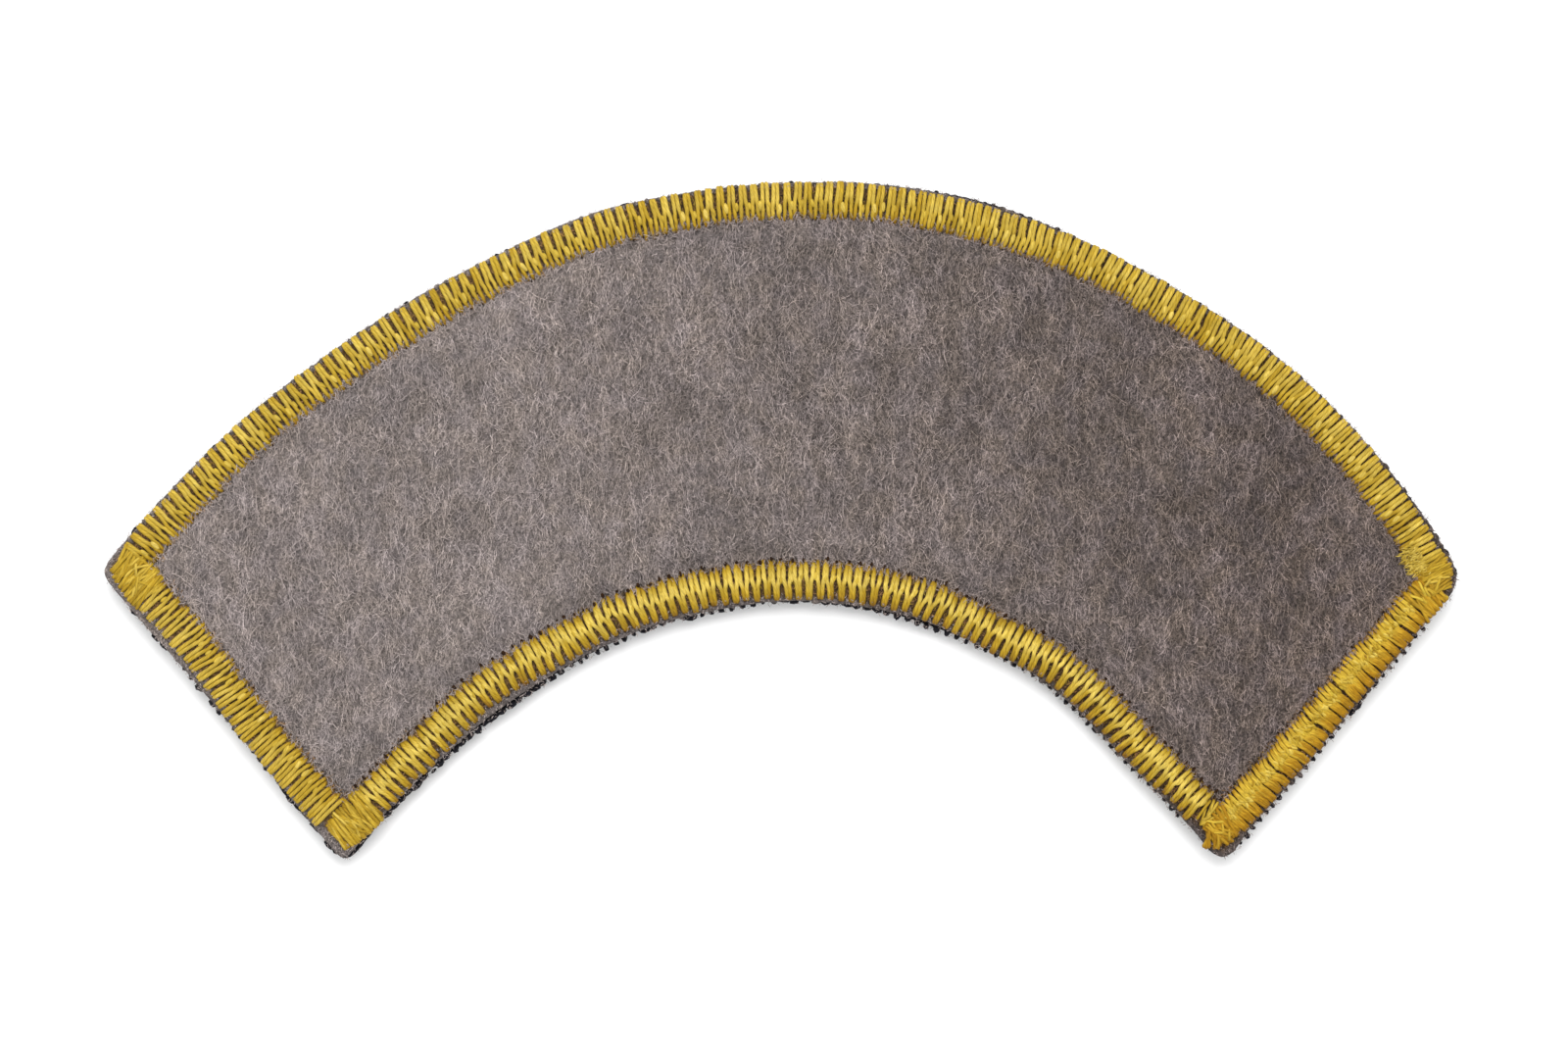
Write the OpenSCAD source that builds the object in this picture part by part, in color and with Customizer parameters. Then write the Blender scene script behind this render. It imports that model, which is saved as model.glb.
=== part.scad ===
// A fan-shaped cloth shoulder patch, lying face up on its underside.
// A grey felt ply lies on a black wool ply, and a wide zigzag of yellow
// thread holds the two together along all four cut edges.
// X runs from end to end, Y towards the crown of the arch, Z up.

/* [Outline] */
// Radius of the upper cut edge
upper_r = 64.4; // [62:0.1:70]
// Radius of the lower cut edge
lower_r = 38.9; // [34:0.1:41]
// How far the lower edge's centre lies below the upper edge's centre
centre_drop = 10.7; // [9:0.1:13]
// How far the lower edge's centre lies to the left of the upper edge's
centre_side = 0.7; // [0:0.1:2]
// Sweep of the upper edge to the left of the crown, in degrees
upper_left = 62.2; // [56:0.1:64]
// Sweep of the upper edge to the right of the crown, in degrees
upper_right = 61.7; // [56:0.1:64]
// Sweep of the lower edge to the left of the crown, in degrees
lower_left = 65.8; // [60:0.1:68]
// Sweep of the lower edge to the right of the crown, in degrees
lower_right = 65.5; // [60:0.1:68]

/* [Plies] */
// Thickness of the black wool ply
wool_t = 1.0; // [1:0.05:1.5]
// Thickness of the felt where the stitching presses it down
felt_pressed_t = 1.0; // [0.9:0.05:1.2]
// Thickness of the felt where it stands free
felt_t = 1.65; // [1.5:0.05:2.2]
// Gap left between neighbouring pieces
gap = 0.05; // [0.03:0.01:0.08]

/* [Stitching] */
// Width of the zigzag along the upper edge
upper_stitch_w = 3.05; // [2.5:0.05:3.6]
// Width of the zigzag along the lower edge
lower_stitch_w = 3.4; // [2.5:0.05:3.8]
// Width of the zigzag along the left end
left_stitch_w = 3.1; // [2.5:0.05:3.6]
// Width of the zigzag along the right end
right_stitch_w = 3.65; // [2.5:0.05:3.9]
// Height of the threads above the felt
stitch_h = 0.5; // [0.4:0.05:0.6]
// Thickness of the threads on the underside
under_t = 0.25; // [0.2:0.05:0.3]

/* [Hidden] */

// Middle of the outline's box, which becomes the origin, from the upper edge's centre
box_mid = [-1.50, 35.72];

// The four cut edges. Rows are evenly spaced: from left to right along the arcs,
// and from the lower tip to the upper corner along the ends. The columns are
//   WAVER    how far the hand-cut edge strays: away from the arc's centre on the
//            arcs, and outwards from a straight line on the ends
//   INSET    from the cut edge of the wool to the outer row of needle holes
//   SETBACK  how much of the wool shows past the felt
UPPER = 0;
LOWER = 1;
LEFT = 2;
RIGHT = 3;
SIDES = [UPPER, LOWER, LEFT, RIGHT];
WAVER = 0;
INSET = 1;
SETBACK = 2;
EDGES = [
    [[2.60, 0.30, 0.08],
     [1.40, 0.20, 0.08],
     [0.40, 0.15, 0.08],
     [-0.35, 0.20, 0.08],
     [-0.65, 0.25, 0.08],
     [-0.60, 0.15, 0.08],
     [0.00, 0.25, 0.08],
     [0.00, 0.10, 0.05],
     [0.15, 0.10, 0.05],
     [0.30, 0.10, 0.05],
     [0.40, 0.35, 0.25],
     [-0.05, 0.15, 0.08],
     [-0.20, 0.20, 0.10],
     [-0.05, 0.20, 0.10],
     [0.00, 0.25, 0.12],
     [0.00, 0.35, 0.12],
     [0.00, 0.55, 0.15]],
    [[2.40, 0.50, 0.10],
     [1.15, 0.55, 0.15],
     [0.20, 0.80, 0.35],
     [-0.25, 1.05, 0.45],
     [-0.45, 0.75, 0.40],
     [-0.30, 0.85, 0.35],
     [-0.05, 0.60, 0.25],
     [0.05, 0.70, 0.25],
     [0.40, 0.45, 0.15],
     [0.35, 0.55, 0.20],
     [0.05, 0.80, 0.50],
     [0.00, 0.50, 0.30],
     [0.05, 0.30, 0.20],
     [-0.40, 0.55, 0.25],
     [-0.50, 0.40, 0.20],
     [0.25, 0.40, 0.20],
     [1.55, 0.45, 0.15]],
    [[0.00, 0.80, 0.10],
     [0.10, 0.55, 0.10],
     [0.00, 0.45, 0.15],
     [-0.05, 0.45, 0.10],
     [0.00, 0.75, 0.15],
     [0.15, 0.95, 0.10],
     [0.10, 0.80, 0.10]],
    [[0.00, 0.50, 0.15],
     [-0.05, 0.45, 0.15],
     [0.05, 0.35, 0.12],
     [0.00, 0.30, 0.15],
     [0.05, 0.35, 0.15],
     [0.05, 0.35, 0.12],
     [0.00, 0.40, 0.15]],
];
STITCH_W = [upper_stitch_w, lower_stitch_w, left_stitch_w, right_stitch_w];

// The four corners. The columns are the corner's rounding and its lift off the table
ROUND = 0;
LIFT = 1;
UPPER_LEFT = [1.1, 0.5];
UPPER_RIGHT = [2.2, 0.8];
LOWER_LEFT = [1.3, 0.35];
LOWER_RIGHT = [1.9, 0.6];
// Share of the half length over which the patch lies flat
flat_share = 0.3;
// Angle between the end cuts and the arcs' radii, in degrees
end_turn = 24;

// How far a ply rounds off at its cut edge, over what width, and where it is level
edge_droop = 0.12;
edge_round = 0.45;
edge_level = 1.35;
// How far the cloth stays pressed down past the inner row of needle holes
pressed_past = 0.12;
// From there, where the felt swells, where it is level again, and the swell's height
swell_at = 1.2;
level_at = 3.2;
swell_h = 0.07;

// Sections across the threads: share of their width, share of their height
RIB = [[0, 0], [0, 0.4], [0.1, 0.75], [0.3, 0.82], [0.55, 1], [0.8, 0.78], [0.93, 0.6],
       [1, 0.35], [1, 0]];
PAD = [[0, 0], [0.06, 1], [0.94, 1], [1, 0]];

// Cells between the stitching along and across a ply, and steps along a run of stitches
ply_columns = 30;
ply_rows = 6;
arc_steps = 40;
end_steps = 10;
// Where along the ends the arcs' runs of stitches begin, as a share of the ends' length
upper_run_at = 0.95;
lower_run_at = 0;

function mix(a, b, f) = a + (b - a) * f;

// A column of an edge's table at a share of its length, on a smooth curve
function along(side, column, f) =
    let (rows = EDGES[side], n = len(rows) - 1, i = min(max(floor(f * n), 0), n - 1),
         u = f * n - i, a = rows[max(i - 1, 0)][column], b = rows[i][column],
         c = rows[i + 1][column], d = rows[min(i + 2, n)][column])
    b + u / 2 * (c - a + u * (2 * a - 5 * b + 4 * c - d + u * (3 * (b - c) + d - a)));

function radial(angle) = [sin(angle), cos(angle)];
function upper_angle(s) = mix(-upper_left, upper_right, s);
function lower_angle(s) = mix(-lower_left, lower_right, s);
function upper_point(s) = radial(upper_angle(s)) * (upper_r + along(UPPER, WAVER, s)) - box_mid;
function lower_point(s) =
    [-centre_side, -centre_drop] - box_mid
    + radial(lower_angle(s)) * (lower_r + along(LOWER, WAVER, s));

// A point of an end cut, bowed outwards by its waver
function end_point(s, t) =
    let (a = lower_point(s), b = upper_point(s), d = (b - a) / norm(b - a),
         out = s < 0.5 ? [-d[1], d[0]] : [d[1], -d[0]])
    mix(a, b, t) + out * along(s < 0.5 ? LEFT : RIGHT, WAVER, t);

// The sheet's surface between its four edges: s runs from the left end to the
// right, t from the lower edge to the upper
function sheet_point(s, t) =
    mix(lower_point(s), upper_point(s), t) + mix(end_point(0, t), end_point(1, t), s)
    - mix(mix(lower_point(0), lower_point(1), s), mix(upper_point(0), upper_point(1), s), t);

// The sheet's size across, squarely to either arc, and along
function across_upper(s) = (upper_point(s) - lower_point(s)) * radial(upper_angle(s));
function across_lower(s) = (upper_point(s) - lower_point(s)) * radial(lower_angle(s));
function length_at(t) =
    mix(lower_r * (lower_left + lower_right), upper_r * (upper_left + upper_right), t)
    * PI / 180 * cos(end_turn);

// The share of a side's length at which a point of the sheet faces it
function share_on(side, s, t) = side == UPPER || side == LOWER ? s : t;
// From a cut edge to the inner row of needle holes
function band(side, f) = along(side, INSET, f) + STITCH_W[side];
function bands(s, t) = [for (side = SIDES) band(side, share_on(side, s, t)) + pressed_past];
function setbacks(s, t, shown) =
    [for (side = SIDES) shown * along(side, SETBACK, share_on(side, s, t))];

// How far a point lies inside lines drawn at these distances from the four sides
function within(s, t, off) =
    min((1 - t) * across_upper(s) - off[UPPER], t * across_lower(s) - off[LOWER],
        s * length_at(t) - off[LEFT], (1 - s) * length_at(t) - off[RIGHT]);

// The corners of the sheet are rounded by drawing a square there in to a quarter disc
function drawn_in(a, b, r) =
    let (x = max(0, 1 - a / r), y = max(0, 1 - b / r))
    [x > 0 && y > 0 ? r * (1 - x * sqrt(1 - y * y / 2)) : a,
     x > 0 && y > 0 ? r * (1 - y * sqrt(1 - x * x / 2)) : b];
function rounded(s, t) =
    let (high = t > 0.5, right = s > 0.5, w = length_at(t),
         h = high ? across_upper(s) : across_lower(s),
         corner = high ? (right ? UPPER_RIGHT : UPPER_LEFT) : (right ? LOWER_RIGHT : LOWER_LEFT),
         d = drawn_in((right ? 1 - s : s) * w, (high ? 1 - t : t) * h, corner[ROUND]))
    [right ? 1 - d[0] / w : d[0] / w, high ? 1 - d[1] / h : d[1] / h];

// The corners curl up off the table
function lift(s, t) =
    let (right = s > 0.5, f = max(0, (abs(2 * s - 1) - flat_share) / (1 - flat_share)))
    f * f * mix((right ? LOWER_RIGHT : LOWER_LEFT)[LIFT], (right ? UPPER_RIGHT : UPPER_LEFT)[LIFT], t);

// Heights of the plies' faces, m inside the stitching and e from the ply's own edge
function droop(e) = edge_droop * pow(max(0, 1 - e / edge_round), 2);
function hollow(m) = lookup(m, [[0, under_t + gap], [swell_at / 2, gap], [swell_at, 0]]);
wool_under = function (m, e) hollow(m) + droop(e) / 2;
wool_top = function (m, e) hollow(m) + wool_t;
felt_under = function (m, e) wool_top(m, e) + gap;
felt_top = function (m, e)
    felt_under(m, e) - droop(e)
    + lookup(m, [[0, felt_pressed_t], [swell_at / 2, (felt_pressed_t + felt_t) / 2 + swell_h],
                 [swell_at, felt_t + swell_h], [level_at, felt_t]]);
stitch_base = under_t + gap + wool_t + gap + felt_pressed_t + gap;

function raised(s, t, z) =
    let (q = rounded(s, t), p = sheet_point(q[0], q[1]))
    [p[0], p[1], z + lift(s, t)];

// Lines of a ply's grid beside one edge, from the ply's own edge inwards
function edge_lines(side, f, back) =
    let (b = band(side, f) + pressed_past)
    [back, back + edge_round, back + edge_level, b, b + swell_at / 2, b + swell_at, b + level_at];
lines_each = len(edge_lines(UPPER, 0, 0)) - 1;

// Place of the i-th of n lines between two opposite sides, as a share of the span
function line_share(low, high, f, i, n, span, back) =
    let (near = edge_lines(low, f, back[low]) / span, far = edge_lines(high, f, back[high]) / span)
    i < lines_each ? near[i]
    : i > n - lines_each ? 1 - far[n - i]
    : mix(near[lines_each], 1 - far[lines_each], (i - lines_each) / (n - 2 * lines_each));

function ply_point(i, j, nx, ny, shown, height) =
    let (s0 = i / nx,
         t0 = line_share(LOWER, UPPER, s0, j, ny, across_upper(s0), setbacks(s0, 0.5, 0)),
         s = line_share(LEFT, RIGHT, t0, i, nx, length_at(t0), setbacks(s0, t0, shown)),
         t = line_share(LOWER, UPPER, s, j, ny, 2 * j < ny ? across_lower(s) : across_upper(s),
                        setbacks(s, t0, shown)))
    raised(s, t, height(within(s, t, bands(s, t)), within(s, t, setbacks(s, t, shown))));

// A closed sheet between two faces on one grid. shown is 1 for a ply that lets the wool
// show past it, and 0 for the wool
module ply(shown, top, bottom) {
    nx = ply_columns + 2 * lines_each;
    ny = ply_rows + 2 * lines_each;
    row = ny + 1;
    half = (nx + 1) * row;
    points = [for (face = [top, bottom], i = [0:nx], j = [0:ny])
              ply_point(i, j, nx, ny, shown, face)];
    tops = [for (i = [0:nx - 1], j = [0:ny - 1]) let (a = i * row + j)
            each [[a, a + 1, a + row + 1], [a, a + row + 1, a + row]]];
    bottoms = [for (f = tops) [f[2] + half, f[1] + half, f[0] + half]];
    rim = concat([for (i = [0:nx]) i * row], [for (j = [1:ny]) nx * row + j],
                 [for (i = [nx - 1:-1:0]) i * row + ny], [for (j = [ny - 1:-1:1]) j]);
    sides = [for (k = [0:len(rim) - 1]) let (a = rim[k], b = rim[(k + 1) % len(rim)])
             each [[a, b, b + half], [a, b + half, a + half]]];
    polyhedron(points, concat(tops, bottoms, sides));
}

// A closed band swept along n steps, from sections of the same number of points
module swept(points, n, k) {
    walls = [for (i = [0:n - 1], j = [0:k - 1]) let (a = i * k + j, b = i * k + (j + 1) % k)
             each [[a, b, b + k], [a, b + k, a + k]]];
    polyhedron(points, concat(walls, [[for (j = [k - 1:-1:0]) j]], [[for (j = [0:k - 1]) n * k + j]]));
}

// A point of an arc's run of stitches: f along it, w across it from the outer needle holes
function arc_run_point(side, f, w, z) =
    let (at = side == UPPER ? upper_run_at : lower_run_at,
         from = side == UPPER ? along(LEFT, INSET, 1) : band(LEFT, 0) + gap,
         to = side == UPPER ? along(RIGHT, INSET, 1) : band(RIGHT, 0) + gap,
         s = mix(from / length_at(at), 1 - to / length_at(at), f),
         reach = along(side, INSET, f) + w * STITCH_W[side])
    raised(s, side == UPPER ? 1 - reach / across_upper(s) : reach / across_lower(s), z);

// The same for an end's run, which stops short of the upper arc's
function end_run_point(side, f, w, z) =
    let (end = side == LEFT ? 0 : 1,
         from = along(LOWER, INSET, 0.5), to = band(UPPER, end) + gap,
         t = mix(from / across_lower(end), 1 - to / across_upper(end), f),
         reach = (along(side, INSET, f) + w * STITCH_W[side]) / length_at(t))
    raised(side == LEFT ? reach : 1 - reach, t, z);

module stitching(side, section, base, height) {
    arc = side == UPPER || side == LOWER;
    n = arc ? arc_steps : end_steps;
    onward = side == UPPER || side == LEFT;
    points = [for (i = [0:n], p = section)
              let (f = (onward ? i : n - i) / n, z = base + p[1] * height)
              arc ? arc_run_point(side, f, p[0], z) : end_run_point(side, f, p[0], z)];
    swept(points, n, len(section));
}

module face_stitching(side) {
    color([0.72, 0.55, 0.14]) stitching(side, RIB, stitch_base, stitch_h);
}

module under_stitching(side) {
    color([0.72, 0.55, 0.14]) stitching(side, PAD, under_t, -under_t);
}

module felt_face() {
    color([0.49, 0.45, 0.43]) ply(1, felt_top, felt_under);
}

module wool_base() {
    color([0.09, 0.09, 0.11]) ply(0, wool_top, wool_under);
}

felt_face();
wool_base();
face_stitching(UPPER);  // upper_stitching
face_stitching(LOWER);  // lower_stitching
face_stitching(LEFT);  // left_stitching
face_stitching(RIGHT);  // right_stitching
under_stitching(UPPER);  // upper_understitching
under_stitching(LOWER);  // lower_understitching
under_stitching(LEFT);  // left_understitching
under_stitching(RIGHT);  // right_understitching
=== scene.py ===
"""A fan-shaped cloth shoulder patch, dressed around its packed construction.

The plies, their nap, the zigzag threads and the loose fibres are built as meshes in the
frame's own axes. Lengths are in millimetres until a mesh is made, and f, s and t are
shares of a length from 0 to 1.
"""

from __future__ import annotations

import logging
import math
from dataclasses import dataclass, field
from enum import Enum
from typing import Callable, ClassVar, Sequence

import bpy
import numpy as np
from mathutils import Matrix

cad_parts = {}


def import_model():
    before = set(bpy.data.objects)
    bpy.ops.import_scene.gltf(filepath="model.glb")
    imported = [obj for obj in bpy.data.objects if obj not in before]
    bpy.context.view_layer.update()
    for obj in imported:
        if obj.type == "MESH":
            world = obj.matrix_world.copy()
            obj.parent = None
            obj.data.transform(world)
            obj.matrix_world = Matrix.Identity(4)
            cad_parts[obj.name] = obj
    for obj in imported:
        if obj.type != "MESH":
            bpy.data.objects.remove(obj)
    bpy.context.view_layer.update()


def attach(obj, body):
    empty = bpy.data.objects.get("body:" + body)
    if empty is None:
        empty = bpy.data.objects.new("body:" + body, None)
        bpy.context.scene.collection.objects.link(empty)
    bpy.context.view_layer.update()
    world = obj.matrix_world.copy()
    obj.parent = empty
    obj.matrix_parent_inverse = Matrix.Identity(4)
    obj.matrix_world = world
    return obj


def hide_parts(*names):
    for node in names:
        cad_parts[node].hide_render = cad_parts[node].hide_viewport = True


LOG = logging.getLogger("patch")
MM = 0.001
Array = np.ndarray
Tree = bpy.types.NodeTree
Socket = bpy.types.NodeSocket
Material = bpy.types.Material
Thing = bpy.types.Object
Amount = Array | float
Draws = np.random.Generator
Pair = tuple[float, float]
Four = tuple[float, float, float, float]

HALF = 0.5
ZERO = np.array(0.0)
ONE = np.array(1.0)
UP = np.array([0.0, 0.0, 1.0])
FADE_IN = (0.0, 1.0)
FADE_OUT = (1.0, 0.0)
LEAST_TONE = 0.02
TINY = 1e-9
WHITE = "#ffffff"

# The kinds of node that the finishes use most, and the settings of a blend that multiplies.
NOISE = "TexNoise"
RANGE = "MapRange"
BLEND = "Mix"
MATHS = "Math"
ATTRIBUTE = "Attribute"
TIMES = {"data_type": "RGBA", "blend_type": "MULTIPLY"}


class Side(Enum):
    """The four cut edges of the patch."""

    UPPER = 0
    LOWER = 1
    LEFT = 2
    RIGHT = 3

    @property
    def is_arc(self) -> bool:
        """True for the two curved edges."""
        return self in (Side.UPPER, Side.LOWER)


class Measure(Enum):
    """The rows of an edge's table."""

    WAVER = 0
    INSET = 1
    SETBACK = 2


class StitchStyle(Enum):
    """How a run of stitches looks from the felt side."""

    LADDER = "open legs that fork into pointed loops"
    CHAIN = "crowded legs on both sides of a row of rings"


def mix(a: Amount, b: Amount, f: Amount) -> Array:
    """Goes from a to b as f goes from 0 to 1."""
    return a + (b - a) * f


def unit(vectors: Array) -> Array:
    """Vectors of length 1 along the last axis."""
    return vectors / np.maximum(np.linalg.norm(vectors, axis=-1, keepdims=True), 1e-12)


def on_curve(values: Array, f: Array) -> Array:
    """A smooth curve through evenly spaced knots.

    Args:
        values: The knots, along the first axis.
        f: Where on the curve, as a share of its length.

    Returns:
        The curve's values there, with f's axes in place of the first.
    """
    last = len(values) - 1
    i = np.clip(np.floor(f * last).astype(int), 0, last - 1)
    u = f * last - i
    u = u.reshape(u.shape + (1,) * (values.ndim - 1))
    a = values[np.maximum(i - 1, 0)]
    b = values[i]
    c = values[i + 1]
    d = values[np.minimum(i + 2, last)]
    return b + u / 2 * (c - a + u * (2 * a - 5 * b + 4 * c - d + u * (3 * (b - c) + d - a)))


class SmoothNoise:
    """Seeded noise over a plane, from -1 to 1, smooth between lattice points."""

    SIZE = 128

    def __init__(self, seed: int, cell: float) -> None:
        """Draws the lattice.

        Args:
            seed: What fixes the values.
            cell: Distance between lattice points, in millimetres.
        """
        self.cell = cell
        self.lattice = np.random.default_rng(seed).uniform(-1, 1, (self.SIZE, self.SIZE))

    def at(self, x: Array, y: Array) -> Array:
        """The noise at points of the plane.

        Args:
            x: Across, in millimetres.
            y: Up, in millimetres.

        Returns:
            A value for each point.
        """
        gx = np.asarray(x) / self.cell
        gy = np.asarray(y) / self.cell
        i = np.floor(gx).astype(int)
        j = np.floor(gy).astype(int)
        u = gx - i
        v = gy - j
        u = u * u * (3 - 2 * u)
        v = v * v * (3 - 2 * v)
        i0, i1 = i % self.SIZE, (i + 1) % self.SIZE
        j0, j1 = j % self.SIZE, (j + 1) % self.SIZE
        near = mix(self.lattice[i0, j0], self.lattice[i1, j0], u)
        far = mix(self.lattice[i0, j1], self.lattice[i1, j1], u)
        return mix(near, far, v)


@dataclass
class PatchForm:
    """The sheet's outline and heights, from the same driving sizes as the construction.

    On the sheet, s runs from the left end to the right and t from the lower edge to the
    upper.
    """

    upper_r: float = 64.4
    lower_r: float = 38.9
    centre_drop: float = 10.7
    centre_side: float = 0.7
    upper_sweep: Pair = (-62.2, 61.7)
    lower_sweep: Pair = (-65.8, 65.5)
    box_mid: Pair = (-1.50, 35.72)
    wool_t: float = 1.0
    felt_pressed_t: float = 1.0
    felt_t: float = 1.65
    gap: float = 0.05
    under_t: float = 0.25
    stitch_w: Four = (3.05, 3.4, 3.1, 3.65)
    rounding: Four = (1.1, 2.2, 1.3, 1.9)
    corner_lift: Four = (0.5, 0.8, 0.35, 0.6)
    flat_share: float = 0.3
    end_turn: float = 24.0
    edge_droop: float = 0.12
    edge_round: float = 0.45
    pressed_past: float = 0.12
    swell_at: float = 1.2
    level_at: float = 3.2
    swell_h: float = 0.07
    upper_run_at: float = 0.95
    lower_run_at: float = 0.0
    # How far past the band's inner line the threads reach, by side.
    thread_end: Four = (0.0, -0.22, -0.2, -0.45)
    # How much farther in the threads there shade the felt, by side.
    shade_past: Four = (-0.35, 0.35, -0.1, 0.1)
    # Where their shade turns to light, from the line so found, and where the rim's light ends.
    shade_fade: Pair = (-0.5, -0.05)
    rim_fade: Pair = (0.0, 0.4)
    # The rows of an edge's table are its waver, inset and setback, as Measure numbers them.
    edges: dict[Side, Array] = field(default_factory=lambda: {
        Side.UPPER: np.array([
            [2.6, 1.4, 0.4, -0.35, -0.65, -0.6, 0, 0, 0.15, 0.44, 0.52, -0.05, -0.2, -0.05, 0, 0, 0],
            [0.3, 0.2, 0.15, 0.2, 0.25, 0.15, 0.25, 0.1, 0.1, 0.24, 0.47, 0.15, 0.2, 0.2, 0.25, 0.35,
             0.55],
            [0.08, 0.08, 0.08, 0.08, 0.08, 0.08, 0.08, 0.05, 0.05, 0.08, 0.25, 0.08, 0.1, 0.1, 0.12,
             0.12, 0.15],
        ]),
        Side.LOWER: np.array([
            [2.4, 1.15, 0.2, -0.25, -0.45, -0.3, -0.05, 0.05, 0.4, 0.35, 0.05, 0, 0.05, -0.4, -0.5,
             0.25, 1.55],
            [0.5, 0.55, 0.8, 1.05, 0.75, 0.85, 0.6, 0.7, 0.45, 0.55, 0.8, 0.5, 0.3, 0.55, 0.4, 0.4,
             0.45],
            [0.36, 0.36, 0.4, 0.45, 0.4, 0.35, 0.25, 0.25, 0.15, 0.2, 0.5, 0.3, 0.2, 0.25, 0.2, 0.2,
             0.15],
        ]),
        Side.LEFT: np.array([
            [0, 0.1, 0, -0.05, 0, 0.15, 0.1],
            [0.8, 0.55, 0.45, 0.45, 0.75, 0.95, 0.8],
            [0.1, 0.1, 0.15, 0.1, 0.15, 0.1, 0.1],
        ]),
        Side.RIGHT: np.array([
            [0, -0.05, 0.05, 0, 0.05, 0.05, 0],
            [0.5, 0.45, 0.35, 0.3, 0.35, 0.35, 0.4],
            [0.15, 0.15, 0.12, 0.15, 0.15, 0.12, 0.15],
        ]),
    })

    def along(self, side: Side, measure: Measure, f: Array) -> Array:
        """A measure of an edge at shares of its length."""
        return on_curve(self.edges[side][measure.value], np.asarray(f, float))

    def _sweep(self, side: Side) -> Pair:
        """The two angles that an arc runs between, in degrees."""
        return self.upper_sweep if side is Side.UPPER else self.lower_sweep

    def _radial(self, side: Side, s: Array) -> Array:
        """Directions out from an arc's centre."""
        angle = np.radians(mix(*self._sweep(side), s))
        return np.stack([np.sin(angle), np.cos(angle)], -1)

    def _arc_point(self, side: Side, s: Array) -> Array:
        """A point of a curved cut edge."""
        upper = side is Side.UPPER
        centre = (0.0, 0.0) if upper else (-self.centre_side, -self.centre_drop)
        reach = (self.upper_r if upper else self.lower_r) + self.along(side, Measure.WAVER, s)
        return np.array(centre) - np.array(self.box_mid) + self._radial(side, s) * reach[..., None]

    def _end_point(self, side: Side, t: Array) -> Array:
        """A point of a straight cut end, bowed outwards by its waver."""
        left = side is Side.LEFT
        a, b = (self._arc_point(arc, ZERO if left else ONE) for arc in (Side.LOWER, Side.UPPER))
        d = unit(b - a)
        out = np.array([-d[1], d[0]]) if left else np.array([d[1], -d[0]])
        return mix(a, b, t[..., None]) + out * self.along(side, Measure.WAVER, t)[..., None]

    def sheet_point(self, s: Array, t: Array) -> Array:
        """A point of the sheet between its four edges, before its corners are rounded."""
        s, t = np.broadcast_arrays(np.asarray(s, float), np.asarray(t, float))
        ss = s[..., None]
        tt = t[..., None]
        arcs = (Side.LOWER, Side.UPPER)
        lower, upper = (self._arc_point(arc, s) for arc in arcs)
        low, high = (mix(self._arc_point(arc, ZERO), self._arc_point(arc, ONE), ss) for arc in arcs)
        ends = mix(self._end_point(Side.LEFT, t), self._end_point(Side.RIGHT, t), ss)
        return mix(lower, upper, tt) + ends - mix(low, high, tt)

    def across(self, side: Side, s: Array) -> Array:
        """The sheet's size from arc to arc, squarely to one of them."""
        span = self._arc_point(Side.UPPER, s) - self._arc_point(Side.LOWER, s)
        return (span * self._radial(side, s)).sum(-1)

    def length_at(self, t: Array) -> Array:
        """The sheet's size from end to end, squarely to them."""
        lower, upper = (self.edge_length(arc) for arc in (Side.LOWER, Side.UPPER))
        return mix(lower, upper, t) * math.cos(math.radians(self.end_turn))

    def edge_length(self, side: Side) -> float:
        """The length of a cut edge, before its waver."""
        if side.is_arc:
            first, last = self._sweep(side)
            radius = self.upper_r if side is Side.UPPER else self.lower_r
            return radius * math.radians(last - first)
        return float(self.across(Side.UPPER, ZERO if side is Side.LEFT else ONE))

    def band(self, side: Side, f: Array) -> Array:
        """From a cut edge to the inner row of needle holes."""
        return self.along(side, Measure.INSET, f) + self.stitch_w[side.value]

    def within(self, s: Array, t: Array, line: Callable[[Side, Array], Array]) -> Array:
        """How far a point lies inside lines drawn round the sheet.

        Args:
            s: Share from the left end to the right.
            t: Share from the lower edge to the upper.
            line: Gives a line's distance from an edge at shares of the edge's length.

        Returns:
            The distances in millimetres.
        """
        upper, lower, left, right = (line(side, s if side.is_arc else t) for side in Side)
        return np.minimum.reduce([
            (1 - t) * self.across(Side.UPPER, s) - upper,
            t * self.across(Side.LOWER, s) - lower,
            s * self.length_at(t) - left,
            (1 - s) * self.length_at(t) - right,
        ])

    def inside_stitching(self, s: Array, t: Array) -> Array:
        """How far a point lies inside the inner row of needle holes, negative under the threads."""
        return self.within(s, t, lambda side, f: self.band(side, f) + self.pressed_past)

    def _thread_line(self, side: Side, f: Array) -> Array:
        """From a cut edge to the threads' inner ends."""
        return self.band(side, f) + self.thread_end[side.value]

    def inside_threads(self, s: Array, t: Array) -> Array:
        """How far a point lies inside the threads' inner ends, negative under them."""
        return self.within(s, t, self._thread_line)

    def inside_edge(self, s: Array, t: Array, shown: float) -> Array:
        """How far a point lies inside the felt's cut edge, where shown is 1, or the wool's."""
        return self.within(s, t, lambda side, f: shown * self.along(side, Measure.SETBACK, f))

    def open_share(self, s: Array, t: Array) -> Array:
        """1 where the felt lies open to the light, and 0 where the threads close it in."""
        past_ends = self.within(
            s, t, lambda side, f: self._thread_line(side, f) + self.shade_past[side.value]
        )
        past_holes = self.within(s, t, lambda side, f: self.along(side, Measure.INSET, f))
        inner = np.interp(past_ends, self.shade_fade, FADE_IN)
        return np.maximum(inner, np.interp(past_holes, self.rim_fade, FADE_OUT))

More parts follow.
